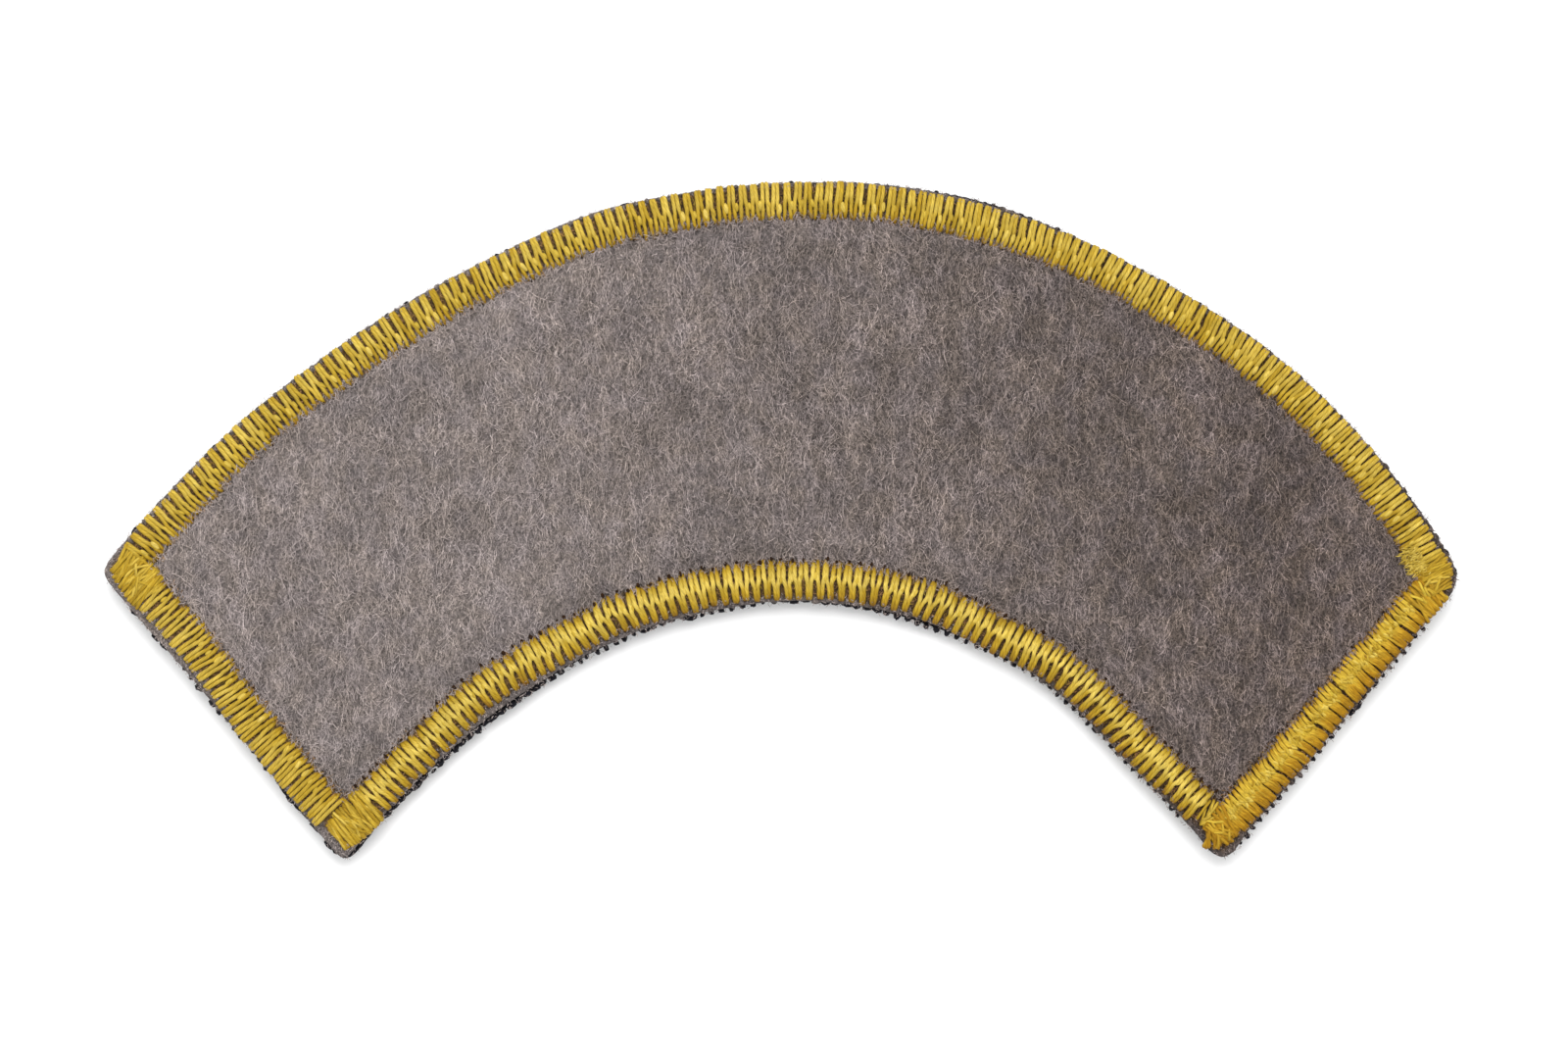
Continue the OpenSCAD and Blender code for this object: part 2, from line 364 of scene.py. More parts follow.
    def rounded(self, s: Array, t: Array) -> tuple[Array, Array]:
        """Draws the corners of the sheet in to quarter discs.

        Args:
            s: Share from the left end to the right.
            t: Share from the lower edge to the upper.

        Returns:
            The shares after it.
        """
        s, t = np.broadcast_arrays(np.asarray(s, float), np.asarray(t, float))
        right, upper = s > HALF, t > HALF
        w = self.length_at(t)
        h = np.where(upper, self.across(Side.UPPER, s), self.across(Side.LOWER, s))
        ul, ur, ll, lr = self.rounding
        r = np.where(upper, np.where(right, ur, ul), np.where(right, lr, ll))
        a = np.where(right, 1 - s, s) * w
        b = np.where(upper, 1 - t, t) * h
        x = np.maximum(0, 1 - a / r)
        y = np.maximum(0, 1 - b / r)
        both = (x > 0) & (y > 0)
        a = np.where(both, r * (1 - x * np.sqrt(1 - y * y / 2)), a)
        b = np.where(both, r * (1 - y * np.sqrt(1 - x * x / 2)), b)
        return np.where(right, 1 - a / w, a / w), np.where(upper, 1 - b / h, b / h)

    def xy(self, s: Array, t: Array) -> Array:
        """A point of the finished outline's sheet."""
        return self.sheet_point(*self.rounded(s, t))

    def lift(self, s: Array, t: Array) -> Array:
        """How far the corners curl up off the table."""
        f = np.maximum(0, (np.abs(2 * s - 1) - self.flat_share) / (1 - self.flat_share))
        ul, ur, ll, lr = self.corner_lift
        return f * f * mix(np.where(s > HALF, lr, ll), np.where(s > HALF, ur, ul), t)

    def droop(self, e: Array) -> Array:
        """How far a ply's face rounds off, e from its own cut edge."""
        return self.edge_droop * np.maximum(0, 1 - e / self.edge_round) ** 2

    def hollow(self, m: Array) -> Array:
        """How far the threads on the underside hold the wool up, m inside the stitching."""
        knots = [0, self.swell_at / 2, self.swell_at]
        return np.interp(m, knots, [self.under_t + self.gap, self.gap, 0])

    def felt_under(self, s: Array, t: Array) -> Array:
        """Height of the felt's lower face."""
        return self.wool_top(s, t) + self.gap

    def felt_top(self, s: Array, t: Array) -> Array:
        """Height of the felt's upper face."""
        m = self.inside_stitching(s, t)
        half_way = (self.felt_pressed_t + self.felt_t) / 2 + self.swell_h
        thick = np.interp(
            m,
            [0, self.swell_at / 2, self.swell_at, self.level_at],
            [self.felt_pressed_t, half_way, self.felt_t + self.swell_h, self.felt_t],
        )
        return self.felt_under(s, t) + thick - self.droop(self.inside_edge(s, t, 1.0))

    def wool_under(self, s: Array, t: Array) -> Array:
        """Height of the wool's lower face."""
        droop = self.droop(self.inside_edge(s, t, 0.0))
        return self.hollow(self.inside_stitching(s, t)) + droop / 2 + self.lift(s, t)

    def wool_top(self, s: Array, t: Array) -> Array:
        """Height of the wool's upper face."""
        return self.hollow(self.inside_stitching(s, t)) + self.wool_t + self.lift(s, t)

    def area(self, samples: int = 200) -> float:
        """The flat area within the outline, in square millimetres."""
        f = np.linspace(0, 1, samples)
        one = np.ones(samples)
        sides = (f, 0 * one), (one, f), (f[::-1], one), (0 * one, f[::-1])
        loop = np.concatenate([self.xy(s, t) for s, t in sides])
        after = np.roll(loop, -1, axis=0)
        return float(abs((loop[:, 0] * after[:, 1] - loop[:, 1] * after[:, 0]).sum()) / 2)

    @property
    def pressed_height(self) -> float:
        """Height of the felt's face under the threads, where the patch lies flat."""
        return self.under_t + self.gap + self.wool_t + self.gap + self.felt_pressed_t

    def run_share(self, side: Side, f: Array, w: float) -> tuple[Array, Array]:
        """A point of a run of stitches, as shares of the sheet.

        Args:
            side: The edge that the run follows.
            f: Share along the run.
            w: Share across it, from the outer needle holes to the inner ones.

        Returns:
            The point's s and t.
        """
        f = np.asarray(f, float)
        reach = self.along(side, Measure.INSET, f) + w * self.stitch_w[side.value]
        if side.is_arc:
            upper = side is Side.UPPER
            span = self.length_at(self.upper_run_at if upper else self.lower_run_at)
            ends = (Side.LEFT, Side.RIGHT)
            if upper:
                fore, aft = (self.along(end, Measure.INSET, ONE) for end in ends)
            else:
                fore, aft = (self.band(end, ZERO) + self.gap for end in ends)
            s = mix(fore / span, 1 - aft / span, f)
            share = reach / self.across(side, s)
            return s, 1 - share if upper else share
        left = side is Side.LEFT
        end = ZERO if left else ONE
        fore = self.along(Side.LOWER, Measure.INSET, np.array(HALF))
        aft = self.band(Side.UPPER, end) + self.gap
        t = mix(fore / self.across(Side.LOWER, end), 1 - aft / self.across(Side.UPPER, end), f)
        share = reach / self.length_at(t)
        return share if left else 1 - share, t


class RunPath:
    """The line of a run's outer needle holes, with its tangents and inward normals."""

    SAMPLES = 500
    SMOOTH = 21

    def __init__(self, form: PatchForm, side: Side) -> None:
        """Measures the line.

        Args:
            form: The patch's outline.
            side: The edge that the run follows.
        """
        self.form = form
        self.side = side
        self.width = form.stitch_w[side.value]
        self.f = np.linspace(0, 1, self.SAMPLES)
        self.outer = form.xy(*form.run_share(side, self.f, 0.0))
        inner = form.xy(*form.run_share(side, self.f, 1.0))
        steps = np.linalg.norm(np.diff(self.outer, axis=0), axis=1)
        self.distance = np.concatenate([[0], np.cumsum(steps)])
        self.length = float(self.distance[-1])
        tangent = unit(np.gradient(self.outer, axis=0))
        kernel = np.ones(self.SMOOTH) / self.SMOOTH
        pad = self.SMOOTH // 2
        padded = np.pad(tangent, ((pad, pad), (0, 0)), mode="edge")
        smooth = [np.convolve(padded[:, k], kernel, mode="valid") for k in range(2)]
        self.tangent = unit(np.stack(smooth, -1))
        normal = np.stack([-self.tangent[:, 1], self.tangent[:, 0]], -1)
        inward = np.sign((normal * (inner - self.outer)).sum(-1, keepdims=True))
        self.normal = normal * inward

    def _sample(self, values: Array, u: Array) -> Array:
        """Values of the line at distances along it."""
        return np.stack([np.interp(u, self.distance, values[:, k]) for k in range(2)], -1)

    def xy(self, u: Array, v: Array) -> Array:
        """A point u along the run and v inwards from the outer needle holes."""
        held = np.clip(u, 0, self.length)
        at = self._sample(self.outer, held)
        tangent = self._sample(self.tangent, held) * (u - held)[..., None]
        return at + tangent + unit(self._sample(self.normal, held)) * v[..., None]

    def lift(self, u: Array, v: Array) -> Array:
        """How far the patch has curled up there."""
        f = np.interp(u, self.distance, self.f)
        s0, t0 = self.form.run_share(self.side, f, 0.0)
        s1, t1 = self.form.run_share(self.side, f, 1.0)
        w = v / self.width
        return self.form.lift(mix(s0, s1, w), mix(t0, t1, w))

    def place(self, u: Array, v: Array, h: Array) -> Array:
        """A point h above the pressed felt, or above the table on the underside."""
        u, v, h = np.broadcast_arrays(u, v, h)
        z = h + self.lift(u, v)
        return np.concatenate([self.xy(u, v), z[..., None]], -1)

    def axes(self, u: Array) -> Array:
        """Directions along the run, inwards and up, as (point, direction, 3)."""
        held = np.clip(u, 0, self.length)
        flat = np.stack([self._sample(self.tangent, held), unit(self._sample(self.normal, held))], 1)
        level = np.concatenate([flat, np.zeros((len(u), 2, 1))], -1)
        return np.concatenate([level, np.broadcast_to(UP, (len(u), 1, 3))], 1)

    def measured(self, measure: Measure, u: Array) -> Array:
        """A measure of the edge at distances along the run."""
        return self.form.along(self.side, measure, np.interp(u, self.distance, self.f))

    def from_end(self, first: float, last: float) -> Pair:
        """A span along the run whose ends are given from the run's own end."""
        return self.length + first, self.length + last


class MeshStock:
    """Gathers vertices, faces, a tone and a lay for each vertex, and makes one mesh of them.

    The lay is a vertex's place in its thread, were the thread pulled straight: across, up
    and along, in millimetres.
    """

    TONE = "tone"
    LAY = "lay"

    def __init__(self) -> None:
        """Starts empty."""
        self.points: list[Array] = []
        self.tones: list[Array] = []
        self.lays: list[Array] = []
        self.faces: list[Array] = []
        self.count = 0

    def add(
        self, points: Array, faces: Sequence[Array], tone: Amount = 1.0, lay: Amount = 0.0
    ) -> None:
        """Adds a batch.

        Args:
            points: Vertices in millimetres, of any shape that ends in 3.
            faces: Arrays of vertex numbers within the batch, each of faces with as many
                corners as it has columns.
            tone: A value for each vertex, or one for all.
            lay: A place in a straight thread for each vertex, or 0 for all.
        """
        flat = points.reshape(-1, 3)
        self.points.append(flat)
        self.tones.append(np.broadcast_to(tone, points.shape[:-1]).reshape(-1))
        self.lays.append(np.broadcast_to(lay, points.shape).reshape(-1, 3))
        self.faces.extend(face + self.count for face in faces)
        self.count += len(flat)

    def make(self, name: str, material: Material, smooth: bool = True) -> Thing:
        """Makes the object.

        Args:
            name: The piece's name.
            material: Its finish.
            smooth: Whether its faces are shaded smooth.

        Returns:
            The object, linked to the scene.
        """
        points = np.concatenate(self.points) * MM
        corners = np.concatenate([face.ravel() for face in self.faces])
        sizes = np.concatenate([np.full(len(face), face.shape[1]) for face in self.faces])
        mesh = bpy.data.meshes.new(name)
        mesh.vertices.add(len(points))
        mesh.vertices.foreach_set("co", points.astype(np.float32).ravel())
        mesh.loops.add(len(corners))
        mesh.loops.foreach_set("vertex_index", corners.astype(np.int32))
        mesh.polygons.add(len(sizes))
        starts = np.concatenate([[0], np.cumsum(sizes)[:-1]])
        mesh.polygons.foreach_set("loop_start", starts.astype(np.int32))
        mesh.polygons.foreach_set("loop_total", sizes.astype(np.int32))
        mesh.polygons.foreach_set("use_smooth", np.full(len(sizes), smooth))
        tone = mesh.attributes.new(self.TONE, "FLOAT", "POINT")
        tone.data.foreach_set("value", np.concatenate(self.tones).astype(np.float32))
        lay = np.concatenate(self.lays)
        if lay.any():
            placed = mesh.attributes.new(self.LAY, "FLOAT_VECTOR", "POINT")
            placed.data.foreach_set("vector", lay.astype(np.float32).ravel())
        mesh.update(calc_edges=True)
        mesh.validate()
        mesh.materials.append(material)
        made = bpy.data.objects.new(name, mesh)
        bpy.context.scene.collection.objects.link(made)
        triangles = int((sizes - 2).sum())
        LOG.info("%s: %d vertices, %d triangles", name, len(points), triangles)
        return made


def resampled(controls: Array, count: int) -> Array:
    """Smooth lines through control points.

    Args:
        controls: Lines as (line, control, 3).
        count: How many points each line gets.

    Returns:
        The lines as (line, count, 3).
    """
    moved = np.moveaxis(controls, 1, 0)
    return np.moveaxis(on_curve(moved, np.linspace(0, 1, count)), 0, 1)


@dataclass(frozen=True)
class TwistedThread:
    """A two-ply thread, as a tube whose two lobes wind round its line."""

    radius: float = 0.14
    flat: float = 0.85
    lobes: int = 2
    lobe_depth: float = 0.12
    turn_length: float = 1.3
    sides: int = 8
    end_taper: float = 0.75
    # A strand whose level part is less than this is steep: its turn comes from its whole line.
    steep: float = 0.25

    def sweep(
        self, stock: MeshStock, lines: Array, seed: int, tone: Amount, thickness: Amount = 1.0
    ) -> None:
        """Sweeps the thread along lines.

        Args:
            stock: Where the tubes go.
            lines: Lines as (line, point, 3).
            seed: What fixes each thread's turn about its line.
            tone: Tone of each line's points as (line, point), or one for all.
            thickness: Share of the radius as (line, point), or one for each line or for all.
        """
        count, steps, _ = lines.shape
        tangent = unit(np.gradient(lines, axis=1))
        across = np.cross(tangent, UP)
        spare = np.cross(unit(lines[:, -1:] - lines[:, :1]), UP)
        short = np.linalg.norm(across, axis=-1, keepdims=True)
        across = unit(np.where(short < self.steep, mix(spare, across, short / self.steep), across))
        above = unit(np.cross(across, tangent))
        stride = np.linalg.norm(np.diff(lines, axis=1), axis=-1)
        run = np.concatenate([np.zeros((count, 1)), np.cumsum(stride, axis=1)], axis=1)
        start = np.random.default_rng(seed).uniform(0, self.turn_length, (count, 1))
        run = run + start
        angle = np.arange(self.sides) * 2 * math.pi / self.sides
        turned = angle - (run / self.turn_length * 2 * math.pi)[..., None]
        taper = np.ones(steps)
        taper[[0, -1]] = self.end_taper
        thick = np.asarray(thickness, float)
        thick = np.broadcast_to(thick if thick.ndim == 2 else thick.reshape(-1, 1), (count, steps))
        reach = self.radius * (1 + self.lobe_depth * np.cos(self.lobes * turned))
        reach = reach * (taper * thick)[..., None]
        side_part = np.cos(angle) * reach
        top_part = np.sin(angle) * reach * self.flat
        points = lines[:, :, None, :] + across[:, :, None, :] * side_part[..., None]
        points = points + above[:, :, None, :] * top_part[..., None]
        along = np.broadcast_to(run[..., None], reach.shape)
        lay = np.stack([side_part, top_part, along], -1)
        tones = np.broadcast_to(np.asarray(tone, float), (count, steps))[..., None]
        tones = np.broadcast_to(tones, points.shape[:-1])
        stock.add(points, tube_faces(count, steps, self.sides), tones, lay)


def tube_faces(count: int, steps: int, sides: int) -> list[Array]:
    """Walls and end caps of tubes whose vertices are stored as (line, point, side)."""
    ring = np.arange(sides)
    step = np.arange(steps - 1)[:, None]
    a = step * sides + ring
    b = step * sides + (ring + 1) % sides
    wall = np.stack([a, b, b + sides, a + sides], -1).reshape(-1, 4)
    caps = np.stack([ring[::-1], (steps - 1) * sides + ring])
    offset = np.arange(count)[:, None, None] * steps * sides
    return [(wall + offset).reshape(-1, 4), (caps + offset).reshape(-1, sides)]


def ribbons(lines: Array, width: Array, roll: Array) -> tuple[Array, list[Array]]:
    """Thin fibres, as strips with pointed tips.

    Args:
        lines: Lines as (line, point, 3).
        width: The width of each fibre.
        roll: How far each strip leans to a side, in radians.

    Returns:
        Vertices as (line, vertex, 3), a tip, then pairs, then a tip, and their faces.
    """
    count, steps, _ = lines.shape
    tangent = unit(np.gradient(lines, axis=1))
    across = unit(np.cross(tangent, UP) + TINY)
    above = np.cross(across, tangent)
    lean = roll.reshape(-1, 1, 1)
    facing = (across * np.cos(lean) + above * np.sin(lean))[:, 1:-1]
    half = facing * width.reshape(-1, 1, 1) / 2
    body = lines[:, 1:-1]
    pairs = np.stack([body - half, body + half], 2).reshape(count, -1, 3)
    points = np.concatenate([lines[:, :1], pairs, lines[:, -1:]], axis=1)
    size = points.shape[1]
    a = np.arange(steps - 3) * 2 + 1
    strip = np.stack([a, a + 1, a + 3, a + 2], -1)
    tips = np.array([[0, 2, 1], [size - 3, size - 2, size - 1]])
    offset = np.arange(count)[:, None, None] * size
    return points, [(strip + offset).reshape(-1, 4), (tips + offset).reshape(-1, 3)]


def ribbon_tone(tone: Array) -> Array:
    """Tones of a ribbon's vertices from those of its line's points."""
    pairs = np.repeat(tone[:, 1:-1], 2, axis=1)
    return np.concatenate([tone[:, :1], pairs, tone[:, -1:]], axis=1)


def lumps(
    centres: Array, axes: Array, sizes: Array, seed: int, rough: float = 0.22
) -> tuple[Array, list[Array]]:
    """Small rough lumps, each with a few rings of vertices between its poles.

    Args:
        centres: Middles as (lump, 3).
        axes: Directions as (lump, axis, 3).
        sizes: Half sizes along the axes as (lump, axis).
        seed: What fixes the roughness.
        rough: Depth of the roughness, as a share of the lump.

    Returns:
        Vertices as (lump, vertex, 3), and their faces.
    """
    rings, segments, rough_cell = 4, 8, 0.22
    polar = np.linspace(0, math.pi, rings + 2)[1:-1]
    turn = np.arange(segments) * 2 * math.pi / segments
    ring = np.stack([
        np.sin(polar)[:, None] * np.cos(turn),
        np.sin(polar)[:, None] * np.sin(turn),
        np.broadcast_to(np.cos(polar)[:, None], (rings, segments)),
    ], -1).reshape(-1, 3)
    ball = np.concatenate([[[0, 0, 1]], ring, [[0, 0, -1]]])
    offset = np.einsum("nk,nka,vk->nva", sizes, axes, ball)
    points = centres[:, None, :] + offset
    noise = SmoothNoise(seed, rough_cell)
    bumps = noise.at(points[..., 0] + points[..., 2], points[..., 1] - points[..., 2])
    points = points + offset * (bumps * rough)[..., None]
    a = np.arange(segments)
    b = (a + 1) % segments
    top = np.stack([np.zeros(segments, int), 1 + a, 1 + b], -1)
    last = 1 + (rings - 1) * segments
    low = np.stack([np.full(segments, last + segments), last + b, last + a], -1)
    row = 1 + np.arange(rings - 1)[:, None] * segments
    wall = np.stack([row + a, row + a + segments, row + b + segments, row + b], -1).reshape(-1, 4)
    shift = np.arange(len(centres))[:, None, None] * len(ball)
    return points, [
        (wall + shift).reshape(-1, 4),
        (np.concatenate([top, low]) + shift).reshape(-1, 3),
    ]


def linear(colour: str) -> Four:
    """An sRGB hex colour as linear light."""
    parts = [int(colour[k:k + 2], 16) / 255 for k in (1, 3, 5)]
    red, green, blue = (p / 12.92 if p <= 0.04045 else ((p + 0.055) / 1.055) ** 2.4 for p in parts)
    return (red, green, blue, 1.0)


def put(
    tree: Tree, kind: str, inputs: dict[str | int, object] | Sequence[object] = (), **settings: object
) -> bpy.types.NodeOutputs:
    """Adds a node to a tree.

    Args:
        tree: The material's tree.
        kind: The node's type, without the prefix that all kinds have.
        inputs: A value for each socket that a dictionary names, or for the first sockets in
            order. Another node's output is linked.
        **settings: The node's own settings.

    Returns:
        The node's outputs.
    """
    node = tree.nodes.new(f"ShaderNode{kind}")
    for name, value in settings.items():
        setattr(node, name, value)
    for name, value in inputs.items() if isinstance(inputs, dict) else enumerate(inputs):
        socket = node.inputs[name]
        if isinstance(value, bpy.types.NodeSocket):
            tree.links.new(value, socket)
        else:
            socket.default_value = value
    return node.outputs


def millimetres(tree: Tree) -> Socket:
    """The object's own coordinates in millimetres."""
    place = put(tree, "TexCoord")["Object"]
    return put(tree, "VectorMath", (place, (1 / MM,) * 3), operation="MULTIPLY")[0]


@dataclass(frozen=True)
class Finish:
    """What the finishes share: a material's name, and how it takes the light."""

    name: str
    roughness: float = 0.95
    specular: float = 0.1
    sheen: float = 0.04
    sheen_roughness: float = 0.5
    relief: float = 1.0
    relief_mm: float = 0.0

    def build(self) -> Material:
        """Makes the material."""
        material = bpy.data.materials.new(self.name)
        material.use_nodes = True
        tree = material.node_tree
        tree.nodes.clear()
        colour, height = self.paint(tree)
        inputs = {
            "Base Color": colour,
            "Roughness": self.roughness,
            "Specular IOR Level": self.specular,
            "Sheen Weight": self.sheen,
            "Sheen Roughness": self.sheen_roughness,
        }
        if height is not None:
            raised = {"Height": height, "Strength": self.relief, "Distance": self.relief_mm * MM}
            inputs["Normal"] = put(tree, "Bump", raised)[0]
        shader = put(tree, "BsdfPrincipled", inputs)
        put(tree, "OutputMaterial", (shader[0],))
        return material

    def paint(self, tree: Tree) -> tuple[Socket | Four, Socket | None]:
        """The finish's colour, and the height of its relief, or None where it is smooth."""
        raise NotImplementedError


@dataclass(frozen=True)
class Clouding:
    """A smooth random pattern, by the size of its grains in millimetres.

    Between two levels of the pattern the light goes from one value to the other. A stretch
    of less than 1 draws the grains out upwards.
    """

    mm: float
    level: Pair
    light: Pair = (0.0, 1.0)
    stretch: float = 1.0
    detail: float = 1.0
    distortion: float = 0.0

    def lit(self, tree: Tree, place: Socket) -> Socket:
        """The light at a place in millimetres."""
        if self.stretch != 1.0:
            drawn = (place, (1.0, self.stretch, 1.0))
            place = put(tree, "VectorMath", drawn, operation="MULTIPLY")[0]
        noise = put(tree, NOISE, {
            "Vector": place, "Scale": 1 / self.mm, "Detail": self.detail, "Distortion": self.distortion,
        })
        return put(tree, RANGE, (noise["Fac"], *self.level, *self.light))[0]


@dataclass(frozen=True)
class FeltShade:
    """Wool felt dyed grey: its shade over the patch, which the ply and its nap share.

    Its colour goes from lighter at the left end to darker at the right, which is a painted
    falloff of the light, and the felt is clouded where fibres lie thinner. That gives the eye the soft
    patches of the real cloth.
    """

    # The colours at the left and the right end: the step between them is a painted falloff of the
    # light, lighter at the left.
    left_lit: str = "#9f9490"
    deep: str = "#776963"
    falloff_mm: Pair = (-24.0, 44.0)
    # The pattern's contrast rises to the right along with that painted falloff.
    contrast: Pair = (1.0, 1.45)
    tint: Clouding = Clouding(1.8, (0.35, 0.65), detail=2.0)
    tint_cool: str = "#91878d"
    tint_warm: str = "#948372"
    tint_share: float = 0.19
    thin: Clouding = Clouding(5.5, (0.36, 0.62), (0.82, 1.0), detail=2.0)
    tufts: Clouding = Clouding(0.8, (0.3, 0.7), (0.87, 1.12), stretch=0.4, distortion=0.8)
    # Painted shade in small pits between the fibres.
    pits: Clouding = Clouding(0.2, (0.34, 0.5), (0.58, 1.0), distortion=0.6)
    # Fibres too fine to be built.
    grain: Clouding = Clouding(0.14, (0.3, 0.7), (0.72, 1.24), stretch=0.36, distortion=0.8)

    def colour(self, tree: Tree, place: Socket, own: Socket) -> Socket:
        """The shade at a place of the patch.

        Args:
            tree: The material's tree.
            place: Coordinates in millimetres.
            own: How light the ply or the fibre itself is there.

        Returns:
            A colour socket.
        """
        x = put(tree, "SeparateXYZ", (place,))["X"]
        far = put(tree, RANGE, (x, *self.falloff_mm))[0]
        ends = {0: far, 6: linear(self.left_lit), 7: linear(self.deep)}
        base = put(tree, BLEND, ends, data_type="RGBA")[2]
        ends = {0: self.tint.lit(tree, place), 6: linear(self.tint_cool), 7: linear(self.tint_warm)}
        hue = put(tree, BLEND, ends, data_type="RGBA")[2]
        base = put(tree, BLEND, {0: self.tint_share, 6: base, 7: hue}, data_type="RGBA")[2]
        thin, tufts, pits, grain = (
            cloud.lit(tree, place) for cloud in (self.thin, self.tufts, self.pits, self.grain)
        )
        fine = put(tree, MATHS, (pits, grain), operation="MULTIPLY")[0]
        light = own
        for part in (thin, tufts, fine):
            light = put(tree, MATHS, (light, part), operation="MULTIPLY")[0]
        contrast = put(tree, RANGE, (x, *self.falloff_mm, *self.contrast))[0]
        light = put(tree, MATHS, (light, contrast), operation="POWER")[0]
        grey = put(tree, "CombineColor", (light,) * 3)[0]
        return put(tree, BLEND, {0: 1.0, 6: base, 7: grey}, **TIMES)[2]


@dataclass(frozen=True)
class GreyFelt(Finish):
    """Pressed wool felt, matted from fine fibres: dull, with a streaked and pitted face.

    Four layers of thin curved ridges lie at a slant to each other over a darker ground, which
    shows between them as pits: painted shade between the fibres.
    """

    name: str = "grey_wool_felt"
    sheen_roughness: float = 0.6
    relief_mm: float = 0.14
    shade: FeltShade = FeltShade()
    # How light the ground between the ridges is: painted shade.
    ridge_gap_shade: float = 0.55
    # Painted shade where the threads close the felt in, browned by painted light thrown back from the
    # yellow threads.
    under_thread_shade: str = "#d6b67e"
    turns: tuple[float, ...] = (-0.75, -0.25, 0.3, 0.85)
    lights: tuple[float, ...] = (0.62, 0.8, 1.0, 0.7)
    cell_mm: float = 0.32
    stretch: float = 0.42
    ridge_half: float = 0.05
    shift_mm: float = 31.0

    def paint(self, tree: Tree) -> tuple[Socket, Socket]:
        """The felt's colour, with painted shade browned by painted light from the yellow threads where
        the threads close it in, and its ridges.

        Args:
            tree: The material's tree.

        Returns:
            A colour socket, and one with the height.
        """
        place = millimetres(tree)
        relief = None
        for k, (turn, light) in enumerate(zip(self.turns, self.lights)):
            ridge = self._ridges(tree, place, turn, k * self.shift_mm)
            lit = put(tree, MATHS, (ridge, light), operation="MULTIPLY")[0]
            if relief is not None:
                lit = put(tree, MATHS, (lit, relief), operation="MAXIMUM")[0]
            relief = lit
        own = put(tree, RANGE, (relief, 0.0, 1.0, self.ridge_gap_shade))[0]
        colour = self.shade.colour(tree, place, own)
        tone = put(tree, ATTRIBUTE, attribute_name=MeshStock.TONE)["Fac"]
        ends = {0: tone, 6: linear(self.under_thread_shade), 7: linear(WHITE)}
        under_thread_shade = put(tree, BLEND, ends, data_type="RGBA")[2]
        return put(tree, BLEND, {0: 1.0, 6: colour, 7: under_thread_shade}, **TIMES)[2], relief

    def _ridges(self, tree: Tree, place: Socket, turn: float, shift: float) -> Socket:
        """Thin curved lines, where a drawn-out noise crosses its middle.

        Args:
            tree: The material's tree.
            place: Coordinates in millimetres.
            turn: How far the lines lean to a side, in radians.
            shift: What tells this layer from the others, in millimetres.

        Returns:
            A socket that is 1 on the lines and 0 between them.
        """
        turned = put(tree, "Mapping", {
            "Vector": place,
            "Location": (shift,) * 3,
            "Rotation": (0.0, 0.0, turn),
            "Scale": (1.0, self.stretch, 1.0),
        })
        noise = put(tree, NOISE, {
            "Vector": turned[0], "Scale": 1 / self.cell_mm, "Detail": 1.0, "Distortion": 0.9,
        })
        off = put(tree, MATHS, (noise["Fac"], HALF), operation="SUBTRACT")[0]
        away = put(tree, MATHS, (off,), operation="ABSOLUTE")[0]
        return put(tree, RANGE, (away, 0.0, self.ridge_half, 1.0, 0.0))[0]


@dataclass(frozen=True)
class FeltFibre(Finish):
    """Single wool fibres that stand loose of the felt: paler where they catch the light."""

    name: str = "grey_wool_fibre"
    roughness: float = 0.85
    # A tint of painted shade and painted yellow light from the threads, for fibres between them.
    thread_bounce_tint: str = WHITE
    shade: FeltShade = FeltShade()
    dark: float = 0.52
    pale: float = 1.58

    def paint(self, tree: Tree) -> tuple[Socket, None]:
        """The felt's shade, from dark to pale with the fibre's own tone."""
        tone = put(tree, ATTRIBUTE, attribute_name=MeshStock.TONE)["Fac"]
        light = put(tree, RANGE, (tone, 0.0, 1.0, self.dark, self.pale))[0]
        colour = self.shade.colour(tree, millimetres(tree), light)
        return put(tree, BLEND, {0: 1.0, 6: colour, 7: linear(self.thread_bounce_tint)}, **TIMES)[2], None


@dataclass(frozen=True)
class BlackWool(Finish):
    """Fulled wool cloth dyed blue-black: nearly without light, with a faint bloom of nap."""

    name: str = "black_wool_cloth"
    specular: float = 0.05
    relief: float = 0.9
    relief_mm: float = 0.15
    dark: str = "#0d0c0f"
    bloom: str = "#24232a"
    nap_mm: float = 0.3
    nap_level: Pair = (0.35, 0.7)

    def paint(self, tree: Tree) -> tuple[Socket, Socket]:
        """Black with the bloom of its nap, and the nap itself."""
        nap = put(tree, NOISE, {
            "Vector": millimetres(tree), "Scale": 1 / self.nap_mm, "Detail": 4.0, "Roughness": 0.65,
        })["Fac"]
        share = put(tree, RANGE, (nap, *self.nap_level))[0]
        ends = {0: share, 6: linear(self.dark), 7: linear(self.bloom)}
        return put(tree, BLEND, ends, data_type="RGBA")[2], nap


